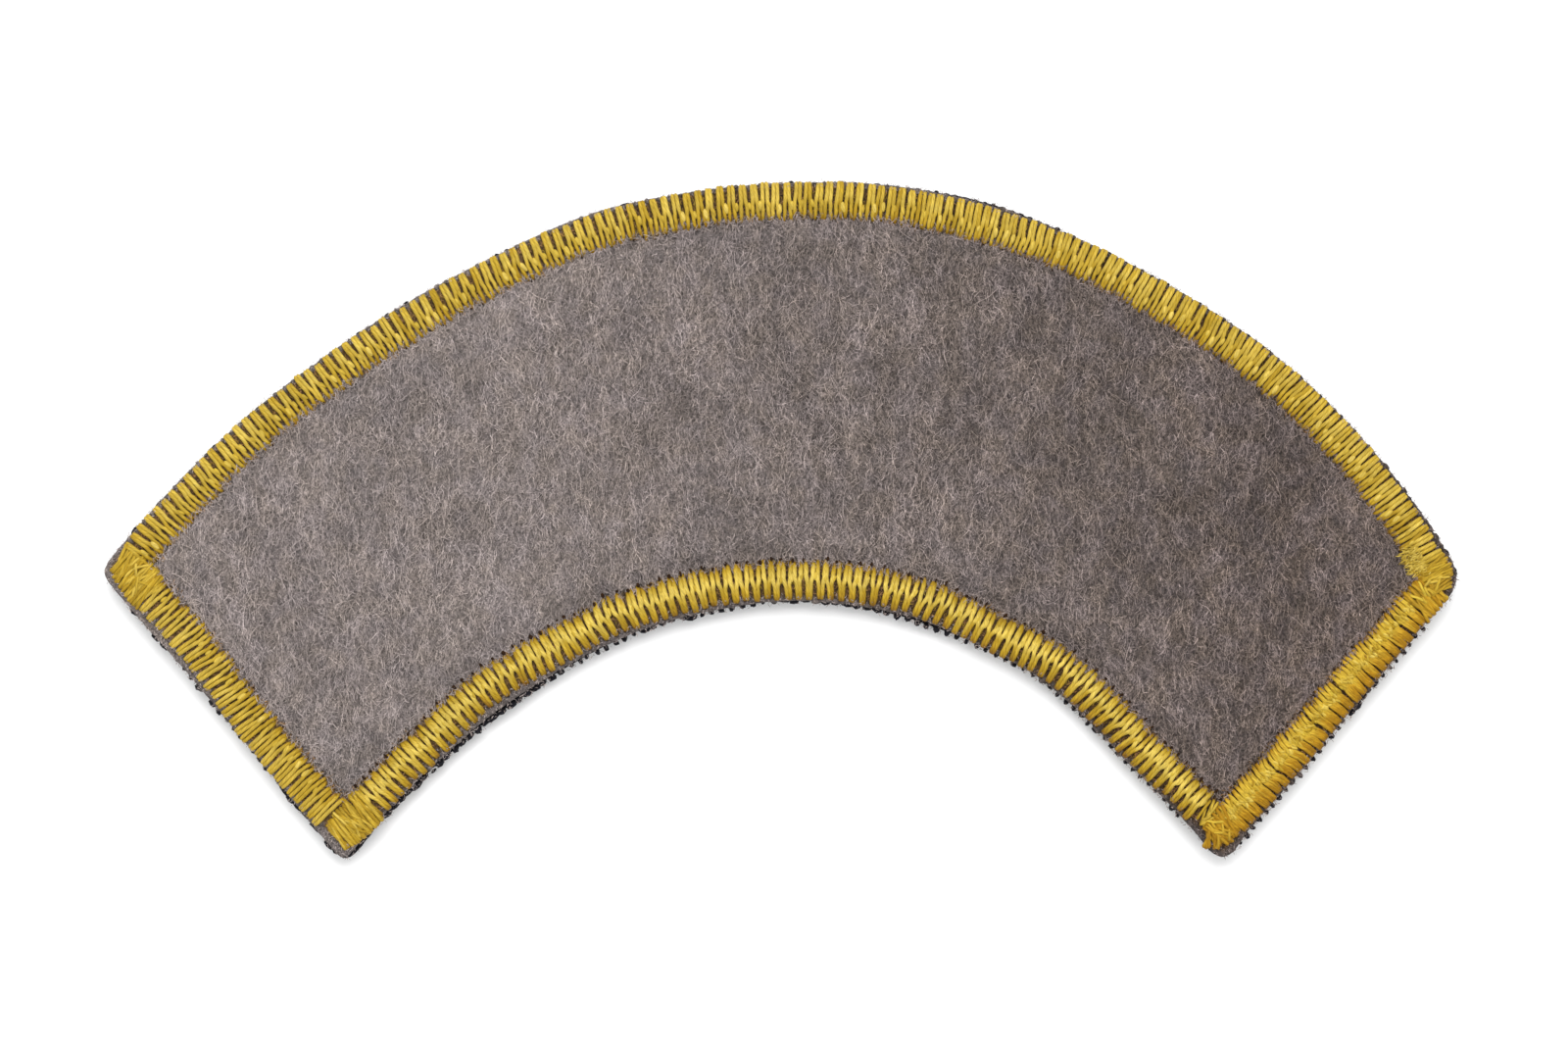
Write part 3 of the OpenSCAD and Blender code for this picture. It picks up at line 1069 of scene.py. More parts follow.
@dataclass(frozen=True)
class CottonThread(Finish):
    """Mercerised cotton embroidery thread, two plies twisted: a soft sheen on bright yellow.

    Its colour goes with the tone from deep through the body to bright: deep where the thread
    dives into its needle holes is painted shade, and bright is a painted highlight. Its fine
    filaments follow the twist, and give the eye thin lengthwise streaks.
    """

    name: str = "yellow_cotton_thread"
    roughness: float = 0.6
    specular: float = 0.14
    sheen: float = 0.03
    sheen_roughness: float = 0.4
    relief_mm: float = 0.035
    # deep is painted shade where the thread dives into its holes, bright a painted highlight; the tone
    # picks between them.
    deep: str = "#6c450f"
    body: str = "#a8891f"
    bright: str = "#cfb552"
    body_tone: Pair = (0.0, 0.55)
    bright_tone: Pair = (0.5, 1.0)
    filament_mm: float = 0.06
    filament_stretch: float = 0.1
    turn_length_mm: float = 2.4
    filament_level: Pair = (0.32, 0.62)
    filament_light: Pair = (0.66, 1.12)
    patches: Clouding = Clouding(1.1, (0.3, 0.7), (0.88, 1.1), detail=2.0)

    def paint(self, tree: Tree) -> tuple[Socket, Socket]:
        """The dye, streaked by the filaments and a little patchy, and the filaments."""
        tone = put(tree, ATTRIBUTE, attribute_name=MeshStock.TONE)["Fac"]
        colour = linear(self.deep)
        for shade, level in ((self.body, self.body_tone), (self.bright, self.bright_tone)):
            share = put(tree, RANGE, (tone, *level))[0]
            ends = {0: share, 6: colour, 7: linear(shade)}
            colour = put(tree, BLEND, ends, data_type="RGBA")[2]
        filaments = self._filaments(tree)
        light = put(tree, RANGE, (filaments, *self.filament_level, *self.filament_light))[0]
        dull = self.patches.lit(tree, millimetres(tree))
        both = put(tree, MATHS, (light, dull), operation="MULTIPLY")[0]
        grey = put(tree, "CombineColor", (both,) * 3)[0]
        return put(tree, BLEND, {0: 1.0, 6: colour, 7: grey}, **TIMES)[2], filaments

    def _filaments(self, tree: Tree) -> Socket:
        """Streaks that wind round the thread with its twist."""
        lay = put(tree, ATTRIBUTE, attribute_name=MeshStock.LAY)["Vector"]
        along = put(tree, "SeparateXYZ", (lay,))["Z"]
        turn = put(tree, MATHS, (along, -2 * math.pi / self.turn_length_mm), operation="MULTIPLY")
        wound = {"Vector": lay, "Angle": turn[0]}
        wound = put(tree, "VectorRotate", wound, rotation_type="Z_AXIS")[0]
        drawn = (wound, (1.0, 1.0, self.filament_stretch))
        drawn = put(tree, "VectorMath", drawn, operation="MULTIPLY")[0]
        fine = {"Vector": drawn, "Scale": 1 / self.filament_mm, "Detail": 2.0}
        return put(tree, NOISE, fine)["Fac"]


@dataclass(frozen=True)
class PaintedBoard(Finish):
    """White painted board, matt: the pale surface under the patch."""

    name: str = "white_painted_board"
    roughness: float = 0.9
    specular: float = 0.2
    sheen: float = 0.0
    colour: str = "#f5f5f5"

    def paint(self, tree: Tree) -> tuple[Four, None]:
        """One plain colour."""
        return linear(self.colour), None


@dataclass
class SheetGrid:
    """The lines of a ply's mesh: close together along the edges, wider in the middle."""

    # The felt's share of drawing in, at these distances from a corner.
    CORNER_MM = (2.2, 4.5)
    CORNER_SHARE = (0.25, 1.0)

    form: PatchForm
    shown: float
    drawn_in: dict[Side, float]
    edge_step: float
    edge_lines: int
    columns: int
    rows: int

    def _shares(self, near: Array, far: Array, spans: Array, middle: int) -> Array:
        """Line places between two opposite edges, as shares of each span."""
        fine = np.arange(self.edge_lines) * self.edge_step
        low = (near[:, None] + fine) / spans[:, None]
        high = 1 - (far[:, None] + fine[::-1]) / spans[:, None]
        inner = mix(low[:, -1:], high[:, :1], np.linspace(0, 1, middle + 1)[1:-1])
        return np.concatenate([low, inner, high], axis=1)

    def _back(self, side: Side, f: Array) -> Array:
        """How far the ply's edge lies inside the outline: drawn in between the corners only."""
        span = self.form.edge_length(side)
        from_end = np.minimum(f, 1 - f) * span
        share = np.interp(from_end, self.CORNER_MM, self.CORNER_SHARE)
        return self.shown * self.form.along(side, Measure.SETBACK, f) + self.drawn_in[side] * share

    def shares(self) -> tuple[Array, Array]:
        """The grid's points as shares of the sheet, both as (column, row)."""
        form = self.form
        rows = 2 * self.edge_lines + self.rows - 1
        t0 = np.linspace(0, 1, rows)
        set_left, set_right = (self._back(side, t0) for side in (Side.LEFT, Side.RIGHT))
        s = self._shares(set_left, set_right, form.length_at(t0), self.columns).T
        s_mid = s[:, rows // 2]
        set_low, set_high = (self._back(side, s_mid) for side in (Side.LOWER, Side.UPPER))
        spans = (form.across(Side.LOWER, s_mid) + form.across(Side.UPPER, s_mid)) / 2
        return s, self._shares(set_low, set_high, spans, self.rows)


def rim_indices(columns: int, rows: int) -> Array:
    """Vertex numbers round the rim of a (column, row) grid, anticlockwise from above."""
    first = np.arange(columns) * rows
    right = (columns - 1) * rows + np.arange(1, rows)
    top = (np.arange(columns - 1, 0, -1) - 1) * rows + rows - 1
    left = np.arange(rows - 2, 0, -1)
    return np.concatenate([first, right, top, left])


def coarse_faces(columns: int, rows: int, stride: int) -> list[list[int]]:
    """Faces over every stride-th line of a (column, row) grid, which still meet all of its rim.

    Args:
        columns: Lines along the grid, one more than a multiple of the stride.
        rows: Lines across it, one more than a multiple of the stride.
        stride: How many lines each face spans.

    Returns:
        A list of vertex numbers for each face, anticlockwise from above.
    """
    faces = []
    for i in range(0, columns - 1, stride):
        for j in range(0, rows - 1, stride):
            far_i, far_j = i + stride, j + stride
            low_step = 1 if j == 0 else stride
            right_step = 1 if far_i == columns - 1 else stride
            high_step = 1 if far_j == rows - 1 else stride
            left_step = 1 if i == 0 else stride
            loop = [a * rows + j for a in range(i, far_i, low_step)]
            loop += [far_i * rows + b for b in range(j, far_j, right_step)]
            loop += [a * rows + far_j for a in range(far_i, i, -high_step)]
            loop += [i * rows + b for b in range(far_j, j, -left_step)]
            faces.append(loop)
    return faces


@dataclass
class ClothPly:
    """One ply of cloth: a closed mesh with a rough cut edge and a coarser hidden face."""

    NAME: ClassVar[str]

    grid: SheetGrid
    stride: int = 4
    walls: int = 4
    edge_bulge: float = 0.06
    edge_ragged: float = 0.05
    ragged_cell: float = 0.35
    ragged_shift: float = 7.0
    seed: int = 11

    @property
    def form(self) -> PatchForm:
        """The patch's outline and heights."""
        return self.grid.form

    def heights(self, s: Array, t: Array) -> tuple[Array, Array]:
        """Heights of the ply's lower and upper faces."""
        raise NotImplementedError

    def relief(self, s: Array, t: Array, flat: Array) -> Array:
        """Small hills of the upper face."""
        return np.zeros(s.shape)

    def tone(self, s: Array, t: Array) -> Array:
        """How light the upper face is, from 0 to 1."""
        return np.ones(s.shape)

    def build(self, material: Material) -> Thing:
        """Makes the ply, as one closed mesh.

        Args:
            material: The cloth's finish.

        Returns:
            The ply.
        """
        s, t = self.grid.shares()
        columns, rows = s.shape
        flat = self.form.xy(s, t)
        low, high = self.heights(s, t)
        high = high + self.relief(s, t, flat)
        top, bottom = (np.concatenate([flat, h[..., None]], -1).reshape(-1, 3) for h in (high, low))
        a = (np.arange(columns - 1)[:, None] * rows + np.arange(rows - 1)).ravel()
        quads = np.stack([a, a + rows, a + rows + 1, a + 1], -1)
        under = coarse_faces(columns, rows, self.stride)
        used = np.unique(np.concatenate([np.array(face) for face in under]))
        number = np.zeros(columns * rows, int)
        number[used] = np.arange(len(used)) + len(top)
        hidden = [
            number[np.array([face for face in under if len(face) == size])][:, ::-1]
            for size in sorted({len(face) for face in under})
        ]
        rim = rim_indices(columns, rows)
        rings = self._wall(top[rim], bottom[rim])
        first = len(top) + len(used)
        between = first + np.arange(len(rings) * len(rim)).reshape(-1, len(rim))
        loops = [rim, *between, number[rim]]
        sides = [
            np.stack([upper, lower, np.roll(lower, -1), np.roll(upper, -1)], -1)
            for upper, lower in zip(loops[:-1], loops[1:])
        ]
        tone = np.ones(first + between.size)
        tone[: len(top)] = self.tone(s, t).ravel()
        stock = MeshStock()
        stock.add(np.concatenate([top, bottom[used], *rings]), [quads, *hidden, *sides], tone)
        return stock.make(self.NAME, material)

    def _wall(self, top: Array, bottom: Array) -> list[Array]:
        """Rings of vertices down the cut edge, which bulges and is ragged.

        Args:
            top: The upper face's rim as (point, 3), anticlockwise from above.
            bottom: The lower face's rim, point for point.

        Returns:
            The rings between them, from the upper to the lower.
        """
        along = unit((np.roll(top, -1, axis=0) - np.roll(top, 1, axis=0))[:, :2])
        out = np.stack([along[:, 1], -along[:, 0], np.zeros(len(top))], -1)
        noise = SmoothNoise(self.seed, self.ragged_cell)
        rings = []
        for k in range(1, self.walls):
            f = k / self.walls
            level = mix(top, bottom, f)
            rough = noise.at(level[:, 0] + k * self.ragged_shift, level[:, 1]) * self.edge_ragged
            rings.append(level + out * (math.sin(math.pi * f) * self.edge_bulge + rough)[:, None])
        return rings


@dataclass
class FeltPly(ClothPly):
    """The grey felt ply, dimpled at every needle hole."""

    NAME = "felt_ply"
    HOLES_AT_ONCE = 40

    holes: Array | None = None
    hole_depth: float = 0.28
    hole_reach: float = 0.24
    hill_h: float = 0.07
    hill_cell: float = 4.0
    ripple_h: float = 0.05
    ripple_cell: float = 0.8
    # How much of the hills and ripples is left where the threads hold the felt down.
    held_share: float = 0.3

    def heights(self, s: Array, t: Array) -> tuple[Array, Array]:
        """Heights of the felt's lower and upper faces."""
        return self.form.felt_under(s, t), self.form.felt_top(s, t)

    def tone(self, s: Array, t: Array) -> Array:
        """Painted shade: dark where the threads close the felt in."""
        return self.form.open_share(s, t)

    def relief(self, s: Array, t: Array, flat: Array) -> Array:
        """Soft hills and ripples, and a dimple at each needle hole.

        Args:
            s: Share from the left end to the right.
            t: Share from the lower edge to the upper.
            flat: The points of the plane there.

        Returns:
            Heights to add to the upper face.
        """
        x, y = flat[..., 0], flat[..., 1]
        hills = SmoothNoise(self.seed + 1, self.hill_cell).at(x, y) * self.hill_h
        ripples = SmoothNoise(self.seed + 2, self.ripple_cell).at(x, y) * self.ripple_h
        free = self.form.inside_stitching(s, t) / self.form.swell_at + HALF
        total = (hills + ripples) * np.clip(free, self.held_share, 1)
        if self.holes is None:
            return total
        points = flat.reshape(-1, 2)
        near = np.full(len(points), np.inf)
        for batch in np.array_split(self.holes, max(1, len(self.holes) // self.HOLES_AT_ONCE)):
            gaps = ((points[:, None, :] - batch[None, :, :]) ** 2).sum(-1)
            near = np.minimum(near, gaps.min(axis=1))
        dimple = self.hole_depth * np.exp(-near / (2 * self.hole_reach**2))
        return total - dimple.reshape(s.shape)


@dataclass
class WoolPly(ClothPly):
    """The black wool ply under the felt."""

    NAME = "wool_ply"

    edge_ragged: float = 0.07
    seed: int = 23

    def heights(self, s: Array, t: Array) -> tuple[Array, Array]:
        """Heights of the wool's lower and upper faces."""
        return self.form.wool_under(s, t), self.form.wool_top(s, t)


def walked(heading: Array, length: Array) -> tuple[Array, Array]:
    """Where fibres get to as they head one way and another.

    Args:
        heading: Angles as (fibre, point).
        length: The length of each fibre.

    Returns:
        How far each point has come towards angle 0, and squarely to it.
    """
    step = length[:, None] / (heading.shape[1] - 1)
    return np.cumsum(np.cos(heading) * step, 1), np.cumsum(np.sin(heading) * step, 1)


@dataclass
class Nap:
    """Loose fibres matted over a part of the felt's face."""

    form: PatchForm
    name: str
    count: int
    points: int
    seed: int
    length: Pair
    width: Pair
    height: Pair
    tone: Pair
    upright: float
    curl: float = 0.6
    within: Pair = (0.0, 99.0)
    swirl: float = 0.35
    swirl_cell: float = 1.6
    curl_length: Pair = (0.7, 1.8)
    # How high a fibre's tips stand, as a share of its middle's height.
    tip_rise: float = 0.2
    pit_cell: float = 0.26
    pit_seed: int = 77
    pit_level: Pair = (-1.0, 0.4)
    roll: float = 0.5
    # How light a fibre's roots are: painted shade where they dive into the felt.
    root_shade: float = 0.55
    # Whether the threads' painted shade falls on the fibres.
    shaded: bool = True
    tries: int = 10

    def build(self, material: Material) -> Thing:
        """Makes the fibres, mostly upright on the patch, each with its own curl and tone.

        Args:
            material: The fibres' finish.

        Returns:
            The layer.
        """
        draw = np.random.default_rng(self.seed)
        s, t = self._starts(draw)
        count = len(s)
        start = self.form.xy(s, t)
        turn = SmoothNoise(self.seed + 1, self.swirl_cell).at(start[:, 0], start[:, 1]) * self.swirl
        angle = math.pi / 2 + turn + draw.normal(0, self.upright, count)
        length = draw.uniform(*self.length, count)
        share = np.linspace(-HALF, HALF, self.points)
        along = share * length[:, None]
        wave = 2 * math.pi / draw.uniform(*self.curl_length, count)[:, None]
        phase = draw.uniform(0, 2 * math.pi, count)[:, None]
        sway = draw.normal(0, self.curl, count)[:, None]
        bend = draw.normal(0, self.curl, count)[:, None]
        dx, dy = walked(angle[:, None] + sway * np.sin(along * wave + phase) + bend * share, length)
        middle = self.points // 2
        dx -= dx[:, middle, None]
        dy -= dy[:, middle, None]
        ss, tt = self._shares_after(s, t, dx, dy)
        base = self.form.felt_top(np.clip(ss, 0, 1), np.clip(tt, 0, 1))
        arch = 1 - (2 * share) ** 2
        rise = draw.uniform(*self.height, count)[:, None] * mix(self.tip_rise, 1.0, arch)
        lines = np.stack([start[:, 0, None] + dx, start[:, 1, None] + dy, base + rise], -1)
        roll = draw.normal(0, self.roll, count)
        points, faces = ribbons(lines, draw.uniform(*self.width, count), roll)
        each = np.clip(draw.normal(*self.tone, count), LEAST_TONE, 1)
        # Painted shade at the roots.
        tone = each[:, None] * mix(self.root_shade, 1.0, arch)
        # Painted shade: fibres darken where the threads close the felt in.
        if self.shaded:
            tone = tone * self.form.open_share(s, t)[:, None]
        stock = MeshStock()
        stock.add(points, faces, ribbon_tone(tone))
        return stock.make(self.name, material, smooth=False)

    def _starts(self, draw: Draws) -> tuple[Array, Array]:
        """Places for the fibres, thinner over small pits.

        Args:
            draw: Where random numbers come from.

        Returns:
            Their s and t.
        """
        form = self.form
        whole = self.count * self.tries
        s = draw.random(whole)
        t = draw.random(whole)
        spread = form.length_at(t) / form.length_at(1.0)
        inside = form.inside_threads(s, t)
        low, high = self.within
        keep = (draw.random(whole) < spread) & (inside > low) & (inside < high)
        s, t = s[keep], t[keep]
        at = form.xy(s, t)
        pits = SmoothNoise(self.pit_seed, self.pit_cell).at(at[:, 0], at[:, 1])
        keep = pits > draw.uniform(*self.pit_level, len(s))
        return s[keep][: self.count], t[keep][: self.count]

    def _shares_after(self, s: Array, t: Array, dx: Array, dy: Array) -> tuple[Array, Array]:
        """Shares of the points a little way from starts, by the sheet's local slope."""
        small = 1e-3
        here = self.form.xy(s, t)
        by_s = (self.form.xy(s + small, t) - here) / small
        by_t = (self.form.xy(s, t + small) - here) / small
        det = by_s[:, 0] * by_t[:, 1] - by_s[:, 1] * by_t[:, 0]
        ds = (dx * by_t[:, 1, None] - dy * by_t[:, 0, None]) / det[:, None]
        dt = (dy * by_s[:, 0, None] - dx * by_s[:, 1, None]) / det[:, None]
        return s[:, None] + ds, t[:, None] + dt


Bends = dict[str, Sequence[float]]
Sizes = dict[str, Amount]


def strand(
    path: RunPath, base: float, bends: Bends, u: Array, along: Sizes, inwards: Sizes,
    up: Sizes | None = None,
) -> Array:
    """Control points of many alike strands in place.

    The bends hold each control point's share of a size of the strands, by its name. Their
    "past" and "height" are millimetres: farther inwards, and up.

    Args:
        path: The run that the strands follow.
        base: Height that the bends start from.
        bends: The control points, in order.
        u: Where each strand stands along the run.
        along: The sizes that add to u.
        inwards: The sizes that make up the distance inwards.
        up: The sizes that add to the height.

    Returns:
        The controls as (strand, bend, 3).
    """
    def total(sizes: Sizes) -> Array:
        """The bends' shares of some sizes, added up as (strand, bend)."""
        named = ((bends[name], size + 0 * u) for name, size in sizes.items() if name in bends)
        return sum(np.multiply.outer(size, share) for share, size in named)

    height = total({**(up or {}), "height": 1.0})
    return path.place(u[:, None] + total(along), total({**inwards, "past": 1.0}), base + height)


@dataclass
class StitchRun:
    """A run of zigzag along one edge, seen from the felt side."""

    # A double leg, from its outer hole through the fork to the inner hole of one of its loops.
    LEG = dict(
        leg=(0.6, 0.9, 1, 1.05, 0.4, 0, 0, 0, 0),
        half=(0, 0, 0, 0, 0.6, 1, 1, 1, 1),
        loop=(0, 0, 0, 0, -0.6, -0.85, -0.95, -0.7, -0.4),
        slant=(0, 0, 0.3, 0.7, 1, 1, 1, 0.8, 0.8),
        start=(1, 1, 1, 0, 0, 0, 0, 0, 0),
        knot=(0, 0, 0.5, 1, 1, 1, 1, 0, 0),
        width=(0, 0, 0, 0, 0, 0, 0, 1, 1),
        past=(-0.08, 0.08, 0, -0.35, -0.02, 0.3, 0.65, -0.25, 0.06),
        height=(-0.22, 0.12, 0.25, 0.28, 0.3, 0.29, 0.25, 0.15, -0.2),
    )
    # The knot between two forks.
    KNOT = dict(
        lean=(-1, -0.6, 0, 1),
        knot=(1, 1, 1, 1),
        reach=(0, 0.2, 0.6, 1),
        past=(-0.1, 0, 0, 0),
        height=(0.26, 0.37, 0.37, 0.2),
    )
    # How far in a small and a large knot reach, how light they are and how thick. The larger knots are
    # lighter as a painted highlight.
    KNOT_REACH = (0.5, 0.85)
    KNOT_TONE = (0.42, 0.78)
    KNOT_THICK = (0.7, 1.05)
    # Crowded legs outside and inside the row of rings, and a half of a ring.
    OUTER_LEG = dict(
        fan=(1, 1, 0, 0, 0),
        stray=(0, 1, 0, 0, 0),
        aside=(0, 0, 1, 1, 1),
        slant=(0, 0, 0, 1, 1),
        start=(1, 1, 1, 0, 0),
        knot=(0, 0, 0.45, 1, 1),
        past=(-0.05, 0.1, 0, -0.15, 0.25),
        height=(-0.22, 0.12, 0.26, 0.24, 0.06),
        rise=(0, 0, 1, 0, 0),
    )
    INNER_LEG = dict(
        aside=(1, 1, 0, 0, 0),
        halfway=(0, 0, 1, 0, 0),
        tip=(0, 0, 0, 1, 1),
        slant=(1, 1, 1, 0, 0),
        knot=(1, 1, 0.5, 0, 0),
        width=(0, 0, 0.5, 1, 1),
        past=(-0.15, 0.22, 0.1, -0.12, 0.04),
        height=(0.06, 0.27, 0.25, 0.1, -0.2),
    )
    RING = dict(
        wide=(-1, -0.6, 0, 0.6, 1),
        stray=(0, 0, 1, 0, 0),
        middle=(1, 1, 1, 1, 1),
        deep=(-1, -0.5, 0, 0.5, 1),
        height=(0.14, 0.31, 0.35, 0.31, 0.14),
    )
    # Where crowded threads lie, as shares of the pitch: at the rings, and at the holes.
    OUTER_FAN = ((-0.31, -0.24), (-0.1, -0.08), (0.1, 0.08), (0.31, 0.24))
    INNER_FAN = ((-0.38, -0.12), (-0.14, -0.06), (0.14, 0.34), (0.38, 0.40))
    RING_PLACES = (-0.35, -0.1, 0.15, 0.4, -0.2, 0.25)
    # Their tones, at shares of their length: low at the holes, as painted shade.
    OUTER_TONE_AT = (0.0, 0.3, 0.6, 1.0)
    OUTER_TONES = (0.42, 0.58, 1.0)
    INNER_TONE_AT = (0.0, 0.5, 0.8, 1.0)
    INNER_TONES = (1.0, 0.8, 0.45, 0.05)

    form: PatchForm
    side: Side
    style: StitchStyle
    # The pitch at the run's first and last stitches, which turns over between these shares.
    pitch: Pair
    knot: float
    seed: int
    turns_over: Pair = (0.42, 0.58)
    skip: Pair = (0.0, 0.0)
    outer_end: float = 0.0
    # Tones at the outer and inner holes are painted shade where the thread dives in; full is the tone
    # between, and the slopes how fast it rises from each end.
    outer_tone: float = 0.25
    inner_tone: float = 0.05
    full_tone: float = 0.6
    tone_slopes: Pair = (2.2, 2.6)
    # A painted highlight near the knot line: its least and greatest peak, where it is and how wide.
    glow: Pair = (0.1, 0.5)
    highlight_at: float = 0.6
    highlight_reach: float = 0.14
    leg_half: float = 0.115
    loop_half: float = 0.22
    # How thick the thread is along a leg and its loop.
    body: tuple[float, ...] = (0.95, 0.93, 0.94, 1.08, 1.1, 0.8)
    thread: TwistedThread = TwistedThread(radius=0.186, flat=0.86, lobe_depth=0.07)
    crowded_thread: TwistedThread = TwistedThread(radius=0.125)
    knot_thread: TwistedThread = TwistedThread(
        radius=0.2, flat=0.75, lobe_depth=0.04, turn_length=1.8, end_taper=0.5
    )
    braid_thread: TwistedThread = TwistedThread(radius=0.125, turn_length=0.9, sides=6, end_taper=0.6)
    points: int = 13
    crowded_points: int = 9
    knot_points: int = 9
    ring_points: int = 7
    slant_reach: float = 0.2
    slant_cell: float = 9.0

    def __post_init__(self) -> None:
        """Lays out the run's stitches, each a little astray."""
        self.path = RunPath(self.form, self.side)
        self.draw = np.random.default_rng(self.seed)
        count = max(2, round(self.path.length * 2 / sum(self.pitch)))
        knots = [0, *self.turns_over, 1]
        gaps = np.interp(np.linspace(0, 1, count), knots, np.repeat(self.pitch, 2))
        edges = np.concatenate([[0], np.cumsum(gaps)]) * self.path.length / gaps.sum()
        self.all_u = (edges[:-1] + edges[1:]) / 2 + self.draw.normal(0, 0.04, count)
        first, last = self.skip
        keep = (self.all_u > first) & (self.all_u < self.path.length - last)
        self.u = self.all_u[keep]
        self.gap = np.gradient(self.all_u)[keep]
        count = len(self.u)
        lean = SmoothNoise(self.seed, self.slant_cell).at(self.u, np.zeros(count))
        self.slant = self.slant_reach * lean + self.draw.normal(0, 0.05, count)
        reach = self.path.width + self.form.thread_end[self.side.value]
        self.width = reach + self.draw.normal(0.06, 0.1, count)
        self.start = self.outer_end + self.draw.normal(0, 0.06, count)

    @property
    def name(self) -> str:
        """The side's name in piece names."""
        return self.side.name.lower()

    def holes(self) -> Array:
        """The needle holes in the felt, as points of the plane."""
        outer = self.path.xy(self.u, self.start)
        inner = self.path.xy(self.u + self.gap / 2, self.width)
        return np.concatenate([outer, inner])

    def _lines(self, points: int, bends: Bends, *sizes: Array | Sizes) -> Array:
        """Smooth strands on the felt, by the same sizes as a strand's."""
        return resampled(strand(self.path, self.form.pressed_height, bends, *sizes), points)

    def _tone(self, lines: Array, peak: Array) -> Array:
        """Painted shade deep in the holes, full in the middle with a painted highlight, and a little
        different on each strand.

        Args:
            lines: The strands, from their outer holes.
            peak: How much brighter each one is at its brightest.

        Returns:
            A tone for each line's points.
        """
        share = np.linspace(0, 1, lines.shape[1])
        first = self.outer_tone + self.tone_slopes[0] * share
        last = self.inner_tone + self.tone_slopes[1] * (1 - share)
        fade = np.minimum(self.full_tone, np.minimum(first, last))
        each = self.draw.normal(0.0, 0.07, (len(lines), 1))
        top = np.exp(-(((share - self.highlight_at) / self.highlight_reach) ** 2))
        return np.clip(fade + each + peak[:, None] * top, 0, 1)

    def _ladder(self, stock: MeshStock, knots: MeshStock) -> None:
        """Adds legs that fork at the knot line into pointed loops.

        Args:
            stock: Where the legs go.
            knots: Where the knots go.
        """
        u, half, slant = self.u, self.gap / 2, self.slant
        draw = self.draw
        count = len(u)
        kn = self.knot * self.width + draw.normal(0, 0.1, count)
        leg = self.leg_half + draw.normal(0, 0.012, count)
        loop = self.loop_half * self.gap + draw.normal(0, 0.015, count)
        bright = draw.uniform(*self.glow, count)
        inwards = {"start": self.start, "knot": kn, "width": self.width}
        body = np.interp(np.linspace(0, 1, self.points), np.linspace(0, 1, len(self.body)), self.body)
        for sign in (1, -1):
            along = {"leg": sign * leg, "half": sign * half, "loop": sign * loop, "slant": slant}
            lines = self._lines(self.points, self.LEG, u, along, inwards)
            thick = draw.uniform(0.94, 1.06, count)[:, None] * body
            self.thread.sweep(stock, lines, self.seed + sign + 5, self._tone(lines, bright), thick)
        mid = u + half + slant + draw.normal(-0.06, 0.04, count)
        size = draw.uniform(-0.25, 1.0, count)
        kept = size > 0
        inwards["reach"] = mix(*self.KNOT_REACH, size)
        lean = draw.normal(0.04, 0.05, count)
        lines = self._lines(self.knot_points, self.KNOT, mid, {"lean": lean}, inwards)[kept]
        tone = mix(*self.KNOT_TONE, size) + draw.normal(0, 0.08, count)
        tone = np.clip(tone, 0, 1)[kept, None]
        bulge = np.sin(np.linspace(0.18, math.pi - 0.25, self.knot_points)) ** 0.6
        thick = mix(*self.KNOT_THICK, size)[kept, None] * bulge
        self.knot_thread.sweep(knots, lines, self.seed + 9, tone, thick)

    def _crowd(
        self, stock: MeshStock, lines: Array, seed: int, at: Sequence[float], tones: Sequence[float],
        thick: Pair,
    ) -> None:
        """Adds crowded threads, each a little different in tone and thickness.

        Args:
            stock: Where the threads go.
            lines: Their lines.
            seed: What fixes each thread's turn about its line.
            at: Shares of their length.
            tones: Their tones there.
            thick: The least and the greatest share of the thread's radius.
        """
        tone = np.interp(np.linspace(0, 1, lines.shape[1]), at, tones)
        tone = np.clip(tone + self.draw.normal(0, 0.06, (len(lines), 1)), 0, 1)
        self.crowded_thread.sweep(stock, lines, seed, tone, self.draw.uniform(*thick, len(lines)))

    def _chain(self, stock: MeshStock, knots: MeshStock) -> None:
        """Adds crowded legs outside and inside a row of rings.

        Args:
            stock: Where the legs go.
            knots: Where the rings go.
        """
        u, gap, slant = self.u, self.gap, self.slant
        draw = self.draw
        count = len(u)
        kn = self.knot * self.width + draw.normal(0, 0.06, count)
        inwards = {"start": self.start, "knot": kn, "width": self.width}
        for place, fan in self.OUTER_FAN:
            aside = place * gap + draw.normal(0, 0.03, count)
            stray = draw.normal(0, 0.02, count)
            along = {"fan": fan * gap, "stray": stray, "aside": aside, "slant": slant}
            rise = {"rise": draw.normal(0, 0.02, count)}
            lines = self._lines(self.crowded_points, self.OUTER_LEG, u, along, inwards, rise)
            seed = self.seed + int(place * 8) + 5
            tones = (self.outer_tone, *self.OUTER_TONES)
            self._crowd(stock, lines, seed, self.OUTER_TONE_AT, tones, (1.0, 1.2))
        for place, tip in self.INNER_FAN:
            aside = place * gap + draw.normal(0, 0.03, count)
            halfway = (place + tip) / 2 * gap
            along = {"aside": aside, "halfway": halfway, "tip": tip * gap, "slant": slant}
            lines = self._lines(self.crowded_points, self.INNER_LEG, u, along, inwards)
            seed = self.seed + int(place * 8) + 15
            self._crowd(stock, lines, seed, self.INNER_TONE_AT, self.INNER_TONES, (0.9, 1.12))
        for k, place in enumerate(self.RING_PLACES):
            at = u + slant + place * gap + draw.normal(0, 0.06, count)
            middle = kn + 0.25 + draw.normal(0, 0.24, count)
            wide = draw.normal(0, 0.13, count)
            across = {"middle": middle, "deep": draw.uniform(0.2, 0.38, count)}
            along = {"wide": wide, "stray": draw.normal(0, 0.02, count)}
